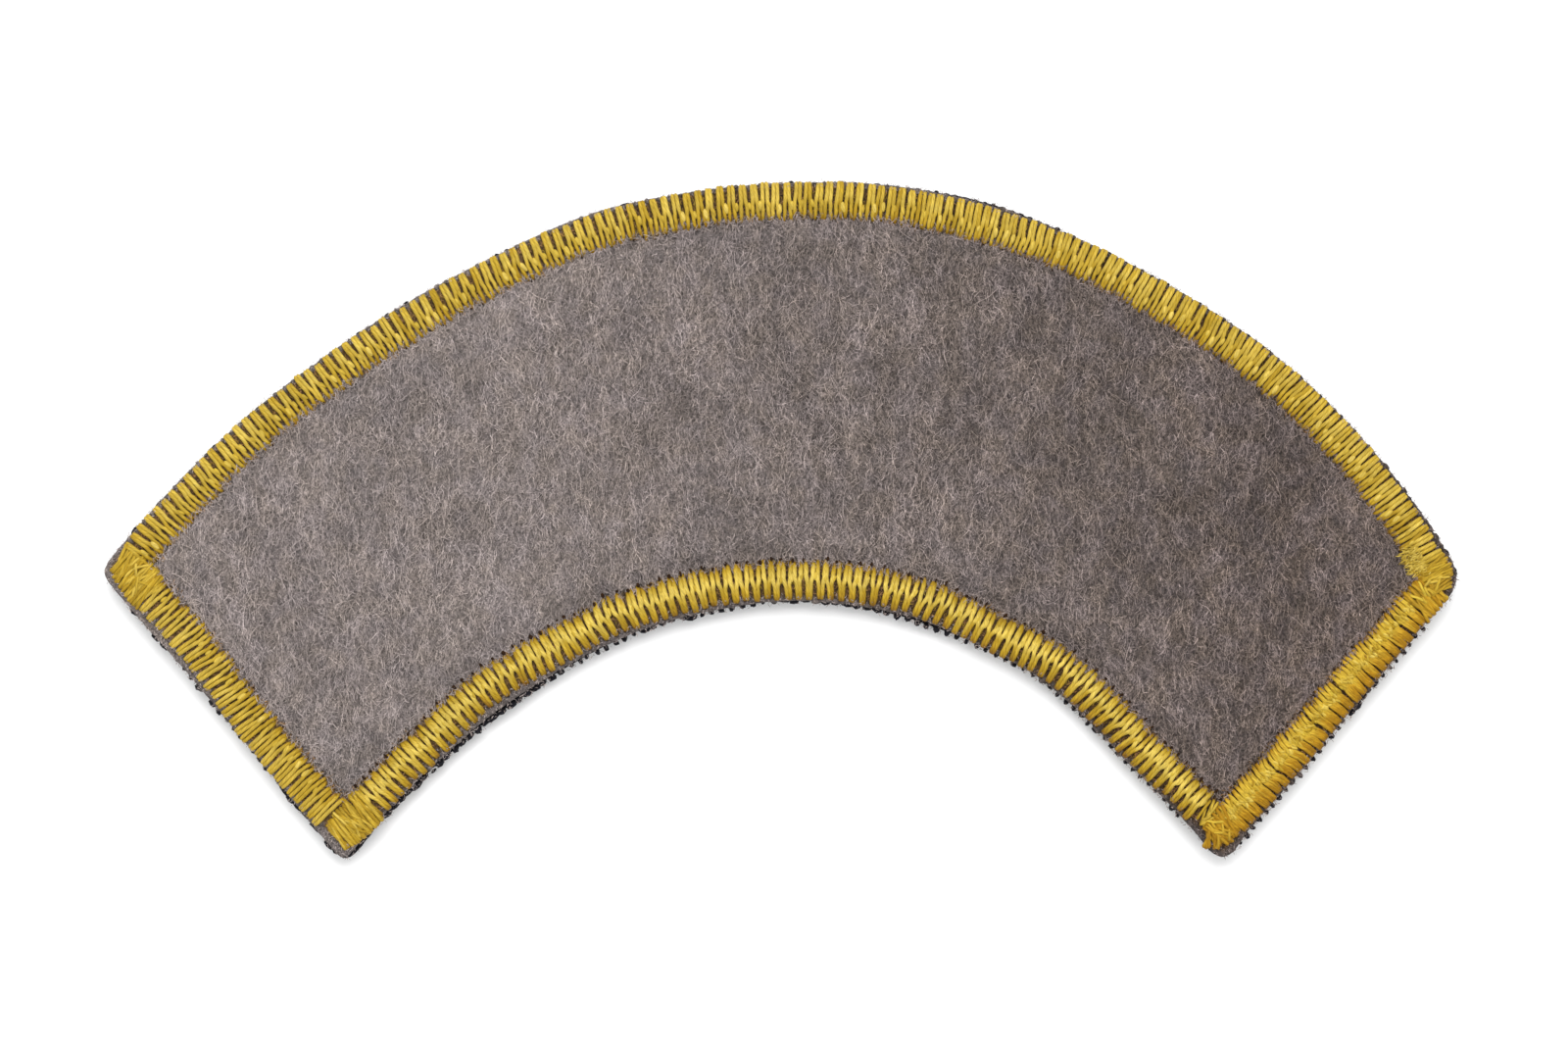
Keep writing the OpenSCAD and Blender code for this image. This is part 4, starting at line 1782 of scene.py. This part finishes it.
            lines = self._lines(self.ring_points, self.RING, at, along, across)
            tone = np.clip(0.66 + draw.normal(0, 0.16, (count, 1)), 0, 1)
            self.braid_thread.sweep(knots, lines, self.seed + 9 + k, tone)

    def build(self, material: Material, knot_material: Material) -> tuple[Thing, Thing]:
        """Makes the run.

        Args:
            material: The finish of the zigzag thread.
            knot_material: The finish of the thread that knots it.

        Returns:
            The zigzag threads, which stand for the node, and the knots.
        """
        stock, knots = MeshStock(), MeshStock()
        add = self._ladder if self.style is StitchStyle.LADDER else self._chain
        add(stock, knots)
        threads = stock.make(f"{self.name}_threads", material)
        return threads, knots.make(f"{self.name}_knots", knot_material)


@dataclass
class UnderRun:
    """The same run on the underside, as plain slanting threads."""

    # From an outer hole, where the thread comes through, to an inner one.
    LEG = dict(
        first=(1, 1, 0.5, 0, 0),
        half=(0, 0, 0.5, 1, 1),
        start=(1, 1, 0, 0, 0),
        width=(0, 0, 0.5, 1, 1),
        past=(-0.02, 0.15, 0, -0.15, 0.02),
        top=(1, 0, 0, 0, 1),
        low=(0, 1, 1, 1, 0),
    )

    run: StitchRun
    thread: TwistedThread = TwistedThread(radius=0.13, flat=0.8, sides=4)
    tone: float = 0.55
    sunk: float = 0.1
    clear: float = 1.2
    points: int = 6

    def build(self, material: Material) -> Thing:
        """Makes the threads."""
        run = self.run
        heights = {"top": run.form.under_t + self.sunk, "low": self.thread.radius * self.clear}
        inwards = {"start": run.start, "width": run.width}
        stock = MeshStock()
        for first in (0.0, 1.0):
            along = {"first": first * run.gap, "half": run.gap / 2}
            controls = strand(run.path, 0.0, self.LEG, run.u, along, inwards, heights)
            self.thread.sweep(stock, resampled(controls, self.points), run.seed + 31, self.tone)
        return stock.make(f"{run.name}_underthreads", material)


@dataclass
class CornerBlock:
    """Threads that pile up across a corner, where one run turns into the next."""

    # A thread of the two crossing layers, and a short one on top of them.
    CROSSING = dict(
        tilt=(-1, -0.9, 0, 0.9, 1),
        bow=(0, 0, 1, 0, 0),
        first=(1, 1, 0.5, 0, 0),
        last=(0, 0, 0.5, 1, 1),
        past=(-0.05, 0.15, 0, -0.15, 0.05),
        rise=(0, 0.7, 1, 0.7, 0),
        stray=(0, 0, 1, 0, 0),
        height=(-0.2, 0, 0, 0, -0.2),
    )
    SHORT = dict(
        tilt=(-1, -0.6, 0, 0.6, 1),
        stray=(0, 0, 1, 0, 0),
        middle=(1, 1, 1, 1, 1),
        long=(-1, -0.6, 0, 0.6, 1),
        height=(0.2, 0.44, 0.5, 0.44, 0.2),
    )
    # Each layer's lean along the run, and its height.
    LAYERS = ((-0.12, 0.2), (0.16, 0.36))

    run: StitchRun
    span: Pair
    reach: Pair
    count: int
    seed: int
    shorter: Pair = (0.0, 0.0)
    slant: float = 0.1
    tone: float = 0.54
    mess: float = 1.0
    thread: TwistedThread = TwistedThread(radius=0.16, sides=7)
    short_share: float = 0.8
    short_thick: float = 0.72
    points: int = 11
    short_points: int = 9

    def add(self, stock: MeshStock) -> None:
        """Adds the threads: two crossing layers, with short ones on top.

        Args:
            stock: Where the threads go.
        """
        draw = np.random.default_rng(self.seed)
        path, base = self.run.path, self.run.form.pressed_height
        near, far = self.reach
        for layer, (lean, rise) in enumerate(self.LAYERS):
            count = self.count
            share = np.linspace(0, 1, count)
            u = mix(*self.span, share) + draw.normal(0, 0.06, count)
            tilt = self.slant + lean + draw.normal(0, 0.16 * self.mess, count)
            less = self.shorter[0] * (1 - share) ** 3 + self.shorter[1] * share**3
            first = near + np.abs(draw.normal(0, 0.12, count)) + less
            last = far - np.abs(draw.normal(0, 0.2, count)) - less
            along = {"tilt": tilt, "bow": draw.normal(0, 0.06, count)}
            up = {"rise": rise, "stray": draw.normal(0, 0.03, count)}
            controls = strand(path, base, self.CROSSING, u, along, {"first": first, "last": last}, up)
            tone = draw.normal(self.tone, 0.09, (count, 1))
            # Painted shade: each thread darkens towards its ends, where it dives into the holes.
            fade = np.sin(np.linspace(0.12, math.pi - 0.12, self.points)) ** 0.4
            thick = draw.uniform(0.85, 1.1, count)
            tone = np.clip(tone, 0, 1) * fade
            self.thread.sweep(stock, resampled(controls, self.points), self.seed + layer, tone, thick)
        count = round(self.count * self.short_share)
        inset = 0.15 * (self.span[1] - self.span[0])
        u = draw.uniform(self.span[0] + inset, self.span[1] - inset, count)
        middle = draw.uniform(near + 0.6, far - 0.7, count)
        tilt = draw.normal(0, 0.3 * self.mess, count)
        long = draw.uniform(0.35, 0.2 * (far - near) + 0.2, count)
        along = {"tilt": tilt, "stray": draw.normal(0, 0.04, count)}
        controls = strand(path, base, self.SHORT, u, along, {"middle": middle, "long": long})
        tone = np.clip(draw.normal(self.tone + 0.14, 0.14, (count, 1)), 0, 1)
        lines = resampled(controls, self.short_points)
        self.thread.sweep(stock, lines, self.seed + 7, tone, self.short_thick)


@dataclass
class LooseFibres:
    """Fine fibres along a run. Its kinds say where they start and how they rise."""

    run: StitchRun
    seed: int
    per_mm: float
    length: Pair = (0.2, 0.5)
    width: Pair = (0.018, 0.03)
    height: Pair = (0.3, 0.46)
    fan: float = 0.45
    curl: float = 1.0
    roll: float = 0.6
    tone: Pair = (0.4, 0.2)
    least_tone: float = 0.0
    # The first and the last millimetre of the run that has them, or None for all of it.
    span: Pair | None = None
    lowest: float = 0.05
    shares: tuple[float, ...] = (-0.5, -1 / 6, 1 / 6, 0.5)
    # 1 where they head inwards, and -1 where they head out of the edge.
    way: int = 1

    def start(self, draw: Draws, u: Array) -> Array:
        """How far inwards the fibres start."""
        raise NotImplementedError

    def heights(self, draw: Draws, share: Array, count: int) -> Array:
        """The heights of their points."""
        raise NotImplementedError

    def add(self, stock: MeshStock) -> None:
        """Adds the fibres.

        Args:
            stock: Where the fibres go.
        """
        draw = np.random.default_rng(self.seed)
        path = self.run.path
        first, last = self.span or (0.0, path.length)
        count = int((last - first) * self.per_mm)
        u = draw.uniform(first, last, count)
        v = self.start(draw, u)
        length = draw.uniform(*self.length, count)
        angle = draw.normal(0, self.fan, count)
        bend = draw.normal(0, self.curl, count)
        share = np.array(self.shares)
        dv, du = walked(angle[:, None] + bend[:, None] * share, length)
        h = self.heights(draw, share, count)
        lines = path.place(u[:, None] + du, v[:, None] + self.way * dv, h)
        lines[..., 2] = np.maximum(lines[..., 2], self.lowest)
        width = draw.uniform(*self.width, count)
        points, faces = ribbons(lines, width, draw.normal(0, self.roll, count))
        tone = np.clip(draw.normal(*self.tone, (count, 1)), self.least_tone, 1)
        stock.add(points, faces, np.broadcast_to(tone, points.shape[:-1]))


@dataclass
class ThreadFuzz(LooseFibres):
    """Fine yellow fibres that stand loose of a run's threads, most of them along them."""

    across: Pair = (0.12, 0.86)
    droop: float = 0.16

    def start(self, draw: Draws, u: Array) -> Array:
        """Anywhere on the threads."""
        return draw.uniform(*self.across, len(u)) * self.run.path.width

    def heights(self, draw: Draws, share: Array, count: int) -> Array:
        """Arched over the threads."""
        rise = draw.uniform(*self.height, count)[:, None] - self.droop * (2 * share) ** 2
        return self.run.form.pressed_height + rise


@dataclass(frozen=True)
class EdgeLook:
    """How the cut edge looks along one side."""

    # How far the plies are drawn in, in millimetres.
    felt_in: float
    wool_in: float
    # The share of the gaps between stitches where the wool shows, and its teeth: their half
    # width as a share of the pitch, their half depth, and how far they stand out.
    dark_share: float
    tooth: Pair
    tooth_out: float
    # The size of the specks at the inner holes, which is also how many there are.
    speck: float
    # From where to where, inwards of the outer holes, the felt between the legs darkens with painted
    # shade.
    grey_in: Pair
    hair_per_mm: float


LOOKS = {
    Side.UPPER: EdgeLook(0.1, 0.16, 0.35, (0.3, 0.2), 0.0, 0.9, (0.3, 1.0), 11.0),
    Side.LOWER: EdgeLook(0.14, 0.42, 0.95, (0.3, 0.34), 0.0, 1.8, (0.05, 0.4), 3.0),
    Side.LEFT: EdgeLook(0.05, 0.12, 0.62, (0.42, 0.3), 0.2, 0.9, (0.2, 0.8), 9.0),
    Side.RIGHT: EdgeLook(0.26, 0.48, 0.85, (0.26, 0.32), 0.12, 1.4, (0.05, 0.4), 3.0),
}


@dataclass
class EdgeTufts:
    """Lumps of both cloths between the stitches' outer ends, and specks at the inner holes."""

    run: StitchRun
    seed: int
    speck_share: float = 0.6
    speck_rise: float = 0.15
    felt_half_h: float = 0.6
    wool_half_h: float = 0.5
    # The half width and depth of the lumps between the teeth.
    low_wide: float = 0.3
    low_deep: float = 0.12
    # Where the edge is wider than this, more felt fills it outside the holes.
    broad: float = 0.25
    join_cell: float = 6.0
    join_level: Pair = (0.0, 0.35)
    joined: float = 1.9
    uneven: Pair = (0.75, 1.2)
    rough_wool: float = 0.4
    rough_felt: float = 0.3

    def __post_init__(self) -> None:
        """Places a lump between each two stitches, and picks those where the wool shows."""
        run = self.run
        self.look = LOOKS[run.side]
        self.draw = np.random.default_rng(self.seed)
        between = (run.all_u[:-1] + run.all_u[1:]) / 2
        self.u = between + self.draw.normal(0, 0.05, len(between))
        self.gap = np.diff(run.all_u)
        self.edge = -run.path.measured(Measure.INSET, self.u)
        self.setback = run.path.measured(Measure.SETBACK, self.u)
        self.dark = self.draw.random(len(self.u)) < self.look.dark_share

    def _lumps(
        self, stock: MeshStock, place: tuple[Array, Array, Array], sizes: Sequence[Amount],
        seed: int, rough: float,
    ) -> None:
        """Adds lumps.

        Args:
            stock: Where they go.
            place: Their distances along the run, inwards and up.
            sizes: Their half sizes along the run, inwards and up.
            seed: What fixes the roughness.
            rough: Depth of the roughness, as a share of a lump.
        """
        path = self.run.path
        u = place[0]
        sizes = np.stack([np.broadcast_to(size, len(u)) for size in sizes], -1)
        stock.add(*lumps(path.place(*place), path.axes(u), sizes, seed, rough=rough))

    def add_wool(self, stock: MeshStock) -> None:
        """Adds black lumps along the cut edge.

        Args:
            stock: Where the lumps go.
        """
        count = len(self.u)
        draw, form, look = self.draw, self.run.form, self.look
        half_wide, half_deep = look.tooth
        deep = np.where(self.dark, half_deep * draw.uniform(*self.uneven, count), self.low_deep)
        together = SmoothNoise(self.seed + 5, self.join_cell).at(self.u, np.zeros(count))
        together = np.interp(together, self.join_level, [1.0, self.joined])
        tooth = half_wide * draw.uniform(*self.uneven, count) * together
        wide = self.gap * np.where(self.dark, tooth, self.low_wide)
        out = np.where(self.dark, look.tooth_out + draw.uniform(-0.08, 0.1, count), 0.0)
        up = np.where(self.dark, draw.uniform(0.3, 0.75, count), 0.0)
        height = form.under_t + form.gap + form.wool_t / 2 + up
        place = (self.u, self.edge + deep - out, height)
        self._lumps(stock, place, (wide, deep, self.wool_half_h), self.seed + 1, self.rough_wool)

    def add_specks(self, stock: MeshStock) -> None:
        """Adds small dark brown specks of wool at the inner holes.

        Args:
            stock: Where the specks go.
        """
        draw, run, speck = self.draw, self.run, self.look.speck
        keep = draw.random(len(run.u)) < self.speck_share * speck
        u = (run.u + run.gap / 2 + run.slant * 0.8)[keep]
        count = len(u)
        wide = speck * draw.uniform(0.05, 0.1, count)
        deep = speck * draw.uniform(0.06, 0.14, count)
        v = run.width[keep] + draw.uniform(0.04, 0.16, count)
        place = (u, v, run.form.pressed_height + self.speck_rise * speck)
        self._lumps(stock, place, (wide, deep, speck * 0.07), self.seed + 2, self.rough_wool)

    def add_felt(self, stock: MeshStock) -> None:
        """Adds grey lumps that run in from the cut edge between the legs.

        Args:
            stock: Where the lumps go.
        """
        count = len(self.u)
        draw, path = self.draw, self.run.path
        held = np.where(self.dark, 0.12, -0.04) + draw.uniform(-0.05, 0.05, count)
        outer = self.edge + self.setback + held
        inner = draw.uniform(0.15, 0.8, count)
        wide = self.gap * draw.uniform(0.2, 0.3, count)
        sizes = np.stack([wide, (inner - outer) / 2, np.full(count, self.felt_half_h)], -1)
        level = self.run.form.pressed_height - self.felt_half_h
        height = level + 0.14 + draw.uniform(-0.06, 0.06, count)
        centres = path.place(self.u, (inner + outer) / 2, height)
        axes = path.axes(self.u)
        points, faces = lumps(centres, axes, sizes, self.seed + 3)
        inwards = np.einsum("nvk,nk->nv", points - centres[:, None, :], axes[:, 1])
        inwards = inwards + (inner + outer)[:, None] / 2
        # Painted shade: the lumps darken inwards, between the legs.
        stock.add(points, faces, np.interp(inwards, self.look.grey_in, FADE_OUT))
        broad = -outer > self.broad
        count = broad.sum()
        deep = -outer[broad] / 2 + 0.06
        wide = self.gap[broad] * draw.uniform(0.36, 0.52, count)
        place = (self.u[broad], 0.06 - deep, level + draw.uniform(0.02, 0.2, count))
        self._lumps(stock, place, (wide, deep, self.felt_half_h), self.seed + 4, self.rough_felt)


@dataclass
class RimHair(LooseFibres):
    """Short hairs that stand out of the cut edge."""

    from_edge: Pair = (0.1, 0.5)
    with_setback: bool = True
    rise: float = 0.12
    curl: float = 1.2
    width: Pair = (0.02, 0.038)
    tone: Pair = (0.45, 0.2)
    least_tone: float = LEAST_TONE
    shares: tuple[float, ...] = (0.0, 0.25, 0.5, 0.75, 1.0)
    way: int = -1

    def start(self, draw: Draws, u: Array) -> Array:
        """A little inside a ply's cut edge."""
        edge = -self.run.path.measured(Measure.INSET, u)
        if self.with_setback:
            edge = edge + self.run.path.measured(Measure.SETBACK, u)
        return edge + draw.uniform(*self.from_edge, len(u))

    def heights(self, draw: Draws, share: Array, count: int) -> Array:
        """Rising or sinking towards their tips."""
        rise = draw.normal(0, self.rise, count)[:, None] * share
        return draw.uniform(*self.height, count)[:, None] + rise


@dataclass
class Studio:
    """The pale floor, soft lights and the camera straight above."""

    view_width: float = 133.33
    view_mid: Pair = (0.32, -0.25)
    lens: float = 100.0
    sensor: float = 36.0
    focus_height: float = 2.5
    clip_m: Pair = (0.01, 10.0)
    floor_size: float = 3000.0
    # A hair under the wool, so that no two faces lie in one plane.
    floor_level: float = -0.02
    sky: float = 1.03
    lamp_watts: float = 5.9
    lamp_size_m: Pair = (0.6, 0.5)
    lamp_place_m: tuple[float, float, float] = (0.0, 0.42, 0.75)

    def build(self) -> None:
        """Makes the floor, the lights and the camera."""
        bpy.context.scene.view_settings.view_transform = "Standard"
        self._floor()
        self._world()
        self._key()
        self._camera()

    def _floor(self) -> None:
        """A plain board under the patch."""
        stock = MeshStock()
        half = self.floor_size / 2
        square = np.array([[-half, -half], [half, -half], [half, half], [-half, half]])
        corners = np.column_stack([square, np.full(len(square), self.floor_level)])
        stock.add(corners, [np.array([[0, 1, 2, 3]])])
        floor = stock.make("floor", PaintedBoard().build(), smooth=False)

    def _world(self) -> None:
        """Even white light from all round."""
        world = bpy.data.worlds.new("studio_world")
        world.use_nodes = True
        tree = world.node_tree
        tree.nodes.clear()
        sky = put(tree, "Background", (linear(WHITE), self.sky))
        put(tree, "OutputWorld", (sky[0],))
        bpy.context.scene.world = world

    def _key(self) -> None:
        """A wide soft lamp above the crown of the arch."""
        lamp = bpy.data.lights.new("key", "AREA")
        lamp.shape = "RECTANGLE"
        lamp.size, lamp.size_y = self.lamp_size_m
        lamp.energy = self.lamp_watts
        key = bpy.data.objects.new("key", lamp)
        key.location = self.lamp_place_m
        key.rotation_mode = "QUATERNION"
        key.rotation_quaternion = (-key.location).to_track_quat("-Z", "Y")
        bpy.context.scene.collection.objects.link(key)

    def _camera(self) -> None:
        """A long lens looking straight down."""
        lens = bpy.data.cameras.new("camera")
        lens.lens = self.lens
        lens.sensor_width = self.sensor
        lens.clip_start, lens.clip_end = self.clip_m
        reach = self.view_width * self.lens / self.sensor
        camera = bpy.data.objects.new("camera", lens)
        camera.location = [place * MM for place in (*self.view_mid, reach + self.focus_height)]
        bpy.context.scene.collection.objects.link(camera)
        bpy.context.scene.camera = camera


def stitch_runs(form: PatchForm) -> list[StitchRun]:
    """The four runs of stitching, as upper, lower, left and right.

    Args:
        form: The patch's outline and heights.

    Returns:
        The runs.
    """
    ladder = StitchStyle.LADDER
    return [
        StitchRun(
            form, Side.UPPER, ladder, pitch=(0.97, 0.81), knot=0.52, seed=101, skip=(1.7, 2.2),
            outer_end=0.1, outer_tone=0.5, leg_half=0.165, loop_half=0.265, glow=(0.0, 0.3),
            highlight_at=0.32, body=(0.95, 0.95, 0.95, 0.93, 0.88, 0.75),
        ),
        StitchRun(
            form, Side.LOWER, ladder, pitch=(0.88, 0.91), knot=0.48, seed=102, outer_end=0.08,
            outer_tone=0.02, leg_half=0.13, glow=(0.4, 1.0),
        ),
        StitchRun(
            form, Side.LEFT, ladder, pitch=(0.83, 0.925), knot=0.52, seed=103, skip=(3.0, 0.0),
            outer_end=-0.2, outer_tone=0.42, leg_half=0.18, loop_half=0.245, glow=(-0.02, 0.25),
            highlight_at=0.34, body=(0.95, 0.95, 0.95, 0.97, 0.94, 0.78),
        ),
        StitchRun(
            form, Side.RIGHT, StitchStyle.CHAIN, pitch=(0.86, 0.86), knot=0.52, seed=104,
            skip=(2.3, 0.6), outer_end=0.14, outer_tone=0.05,
        ),
    ]


def corner_blocks(runs: Sequence[StitchRun]) -> tuple[list[CornerBlock], list[CornerBlock]]:
    """Where threads pile up at the corners.

    Args:
        runs: The upper, lower, left and right runs.

    Returns:
        The blocks in the yellow thread, and those in the amber one.
    """
    upper, lower, left, right = runs
    fine = TwistedThread(radius=0.13, sides=7)
    yellow = [
        CornerBlock(left, left.path.from_end(-0.4, 3.2), (-0.35, 3.2), 16, 501, shorter=(0.0, 0.55)),
        CornerBlock(
            upper, upper.path.from_end(-2.2, 0.25), (-0.12, 3.0), 11, 502, shorter=(0.0, 0.5),
            tone=0.48,
        ),
        CornerBlock(lower, (-3.4, 0.3), (-0.3, 3.2), 17, 503, shorter=(0.5, 0.0), mess=0.6),
        CornerBlock(
            lower, lower.path.from_end(0.1, 1.3), (0.5, 2.9), 3, 506, slant=-0.45, tone=0.62,
            mess=1.5, thread=fine,
        ),
    ]
    amber = [
        CornerBlock(
            right, (-0.65, 2.5), (0.35, 3.3), 14, 504, shorter=(0.95, 0.0), tone=0.56, mess=1.6
        ),
        CornerBlock(right, right.path.from_end(-0.5, 1.6), (-0.15, 3.0), 9, 505, tone=0.62),
    ]
    return yellow, amber


def felt_naps(form: PatchForm) -> list[Nap]:
    """The layers of loose fibres, with the ones tinted by the threads' painted shade along the border
    first.

    Args:
        form: The patch's outline and heights.

    Returns:
        The layers.
    """
    return [
        Nap(
            form, "felt_nap_border", 14000, 4, 204, length=(0.25, 0.8), width=(0.03, 0.055),
            height=(0.04, 0.24), tone=(0.56, 0.25), upright=1.5, within=(-2.75, 0.1), shaded=False,
        ),
        Nap(
            form, "felt_nap_low", 45000, 3, 201, length=(0.4, 1.1), width=(0.055, 0.09),
            height=(0.01, 0.07), tone=(0.34, 0.24), upright=0.9,
        ),
        Nap(
            form, "felt_nap_middle", 32000, 5, 202, length=(0.6, 1.6), width=(0.04, 0.064),
            height=(0.04, 0.14), tone=(0.45, 0.22), upright=0.55,
        ),
        Nap(
            form, "felt_nap_high", 10000, 8, 203, length=(1.0, 3.2), width=(0.032, 0.046),
            height=(0.06, 0.22), tone=(0.64, 0.2), upright=0.45, curl=0.55,
        ),
        Nap(
            form, "felt_nap_rim", 9000, 4, 206, length=(0.2, 0.5), width=(0.03, 0.052),
            height=(0.08, 0.34), tone=(0.78, 0.2), upright=1.5, within=(-4.6, -2.65), shaded=False,
        ),
        # Their high tone is partly painted light, for the felt's lit swell by the inner holes.
        Nap(
            form, "felt_nap_over_stitches", 6500, 5, 205, length=(0.4, 1.2), width=(0.028, 0.044),
            height=(0.12, 0.42), tone=(0.7, 0.2), upright=0.8, within=(-0.5, 0.5), shaded=False,
            tries=26,
        ),
    ]


def main() -> None:
    """Builds the patch around its frame."""
    logging.basicConfig(level=logging.INFO, format="%(name)s %(message)s")
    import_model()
    Studio().build()
    form = PatchForm()
    kinds = (GreyFelt, FeltFibre, BlackWool, CottonThread)
    felt, fibre, wool, thread = (kind().build() for kind in kinds)
    # Brown-black wool for the specks at the inner holes, and felt fibres tinted with painted shade and
    # painted yellow light where the threads close them in.
    brownish_wool = BlackWool(name="brownish_black_wool", dark="#1b110b", bloom="#3a2616").build()
    thread_shaded_fibre = FeltFibre(name="thread_shaded_wool_fibre", thread_bounce_tint="#ecc68a", dark=0.45, pale=1.9).build()
    # A paler copy of the yellow thread for the knots: partly their own paler thread, partly a painted
    # highlight on the raised knot line.
    knot_thread = CottonThread(
        name="pale_highlit_cotton_thread", deep="#8c6c1c", body="#b69a34", bright="#d4bb60"
    ).build()
    amber_thread = CottonThread(
        name="amber_cotton_thread", deep="#5e380a", body="#9e750e", bright="#c4a838"
    ).build()

    runs = stitch_runs(form)
    holes = np.concatenate([run.holes() for run in runs])
    felt_in = {side: look.felt_in for side, look in LOOKS.items()}
    wool_in = {side: look.wool_in for side, look in LOOKS.items()}
    felt_ply = FeltPly(SheetGrid(form, 1.0, felt_in, 0.2, 23, 332, 48), holes=holes).build(felt)
    wool_ply = WoolPly(SheetGrid(form, 0.0, wool_in, 0.35, 5, 204, 16)).build(wool)
    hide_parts("felt_face")
    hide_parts("wool_base")
    grey, black, yellow = [felt_ply], [wool_ply], []

    felt_tufts, wool_tufts, specks, wool_hair, felt_hair, fuzz = (MeshStock() for _ in range(6))
    for k, run in enumerate(runs):
        amber = run.side is Side.RIGHT
        finishes = (amber_thread, thread) if amber else (thread, knot_thread)
        threads, knots = run.build(*finishes)
        under = UnderRun(run).build(thread)
        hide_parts(f"{run.name}_stitching")
        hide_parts(f"{run.name}_understitching")
        yellow += [threads, knots, under]
        tufts = EdgeTufts(run, seed=300 + 10 * k)
        tufts.add_wool(wool_tufts)
        tufts.add_specks(specks)
        tufts.add_felt(felt_tufts)
        RimHair(
            run, seed=401 + k, per_mm=5.0, from_edge=(0.1, 0.35), height=(0.5, 2.0),
            length=(0.08, 0.22), fan=1.2, with_setback=False,
        ).add(wool_hair)
        RimHair(
            run, seed=411 + k, per_mm=LOOKS[run.side].hair_per_mm, height=(2.0, 2.4),
            length=(0.15, 0.4), fan=1.4,
        ).add(felt_hair)
        ThreadFuzz(run, seed=421 + k, per_mm=26.0).add(fuzz)

    corners, amber_corners, felted = (MeshStock() for _ in range(3))
    for stock, blocks in zip((corners, amber_corners), corner_blocks(runs)):
        for block in blocks:
            block.add(stock)
    upper = runs[0]
    ThreadFuzz(
        upper, seed=431, per_mm=120.0, span=upper.path.from_end(-4.4, -2.0), length=(0.4, 0.9),
        width=(0.05, 0.09), across=(0.45, 0.9), height=(0.44, 0.6), tone=(0.6, 0.16),
    ).add(felted)
    yellow += [
        corners.make("corner_threads", thread),
        amber_corners.make("amber_corner_threads", amber_thread),
        fuzz.make("thread_fuzz", thread, smooth=False),
        felted.make("felted_thread_patch", knot_thread, smooth=False),
    ]
    grey += [
        felt_tufts.make("felt_tufts", felt),
        felt_hair.make("felt_rim_hair", fibre, smooth=False),
    ]
    black += [
        wool_tufts.make("wool_tufts", wool),
        specks.make("needle_specks", brownish_wool),
        wool_hair.make("wool_rim_hair", wool, smooth=False),
    ]
    border, *others = felt_naps(form)
    grey += [border.build(thread_shaded_fibre), *(nap.build(fibre) for nap in others)]

    slots = {"grey_felt": grey, "black_wool": black, "yellow_thread": yellow}
    for slot, pieces in slots.items():
        for piece in pieces:
            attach(piece, "root")
    area = form.area() * MM * MM


if __name__ == "__main__":
    main()
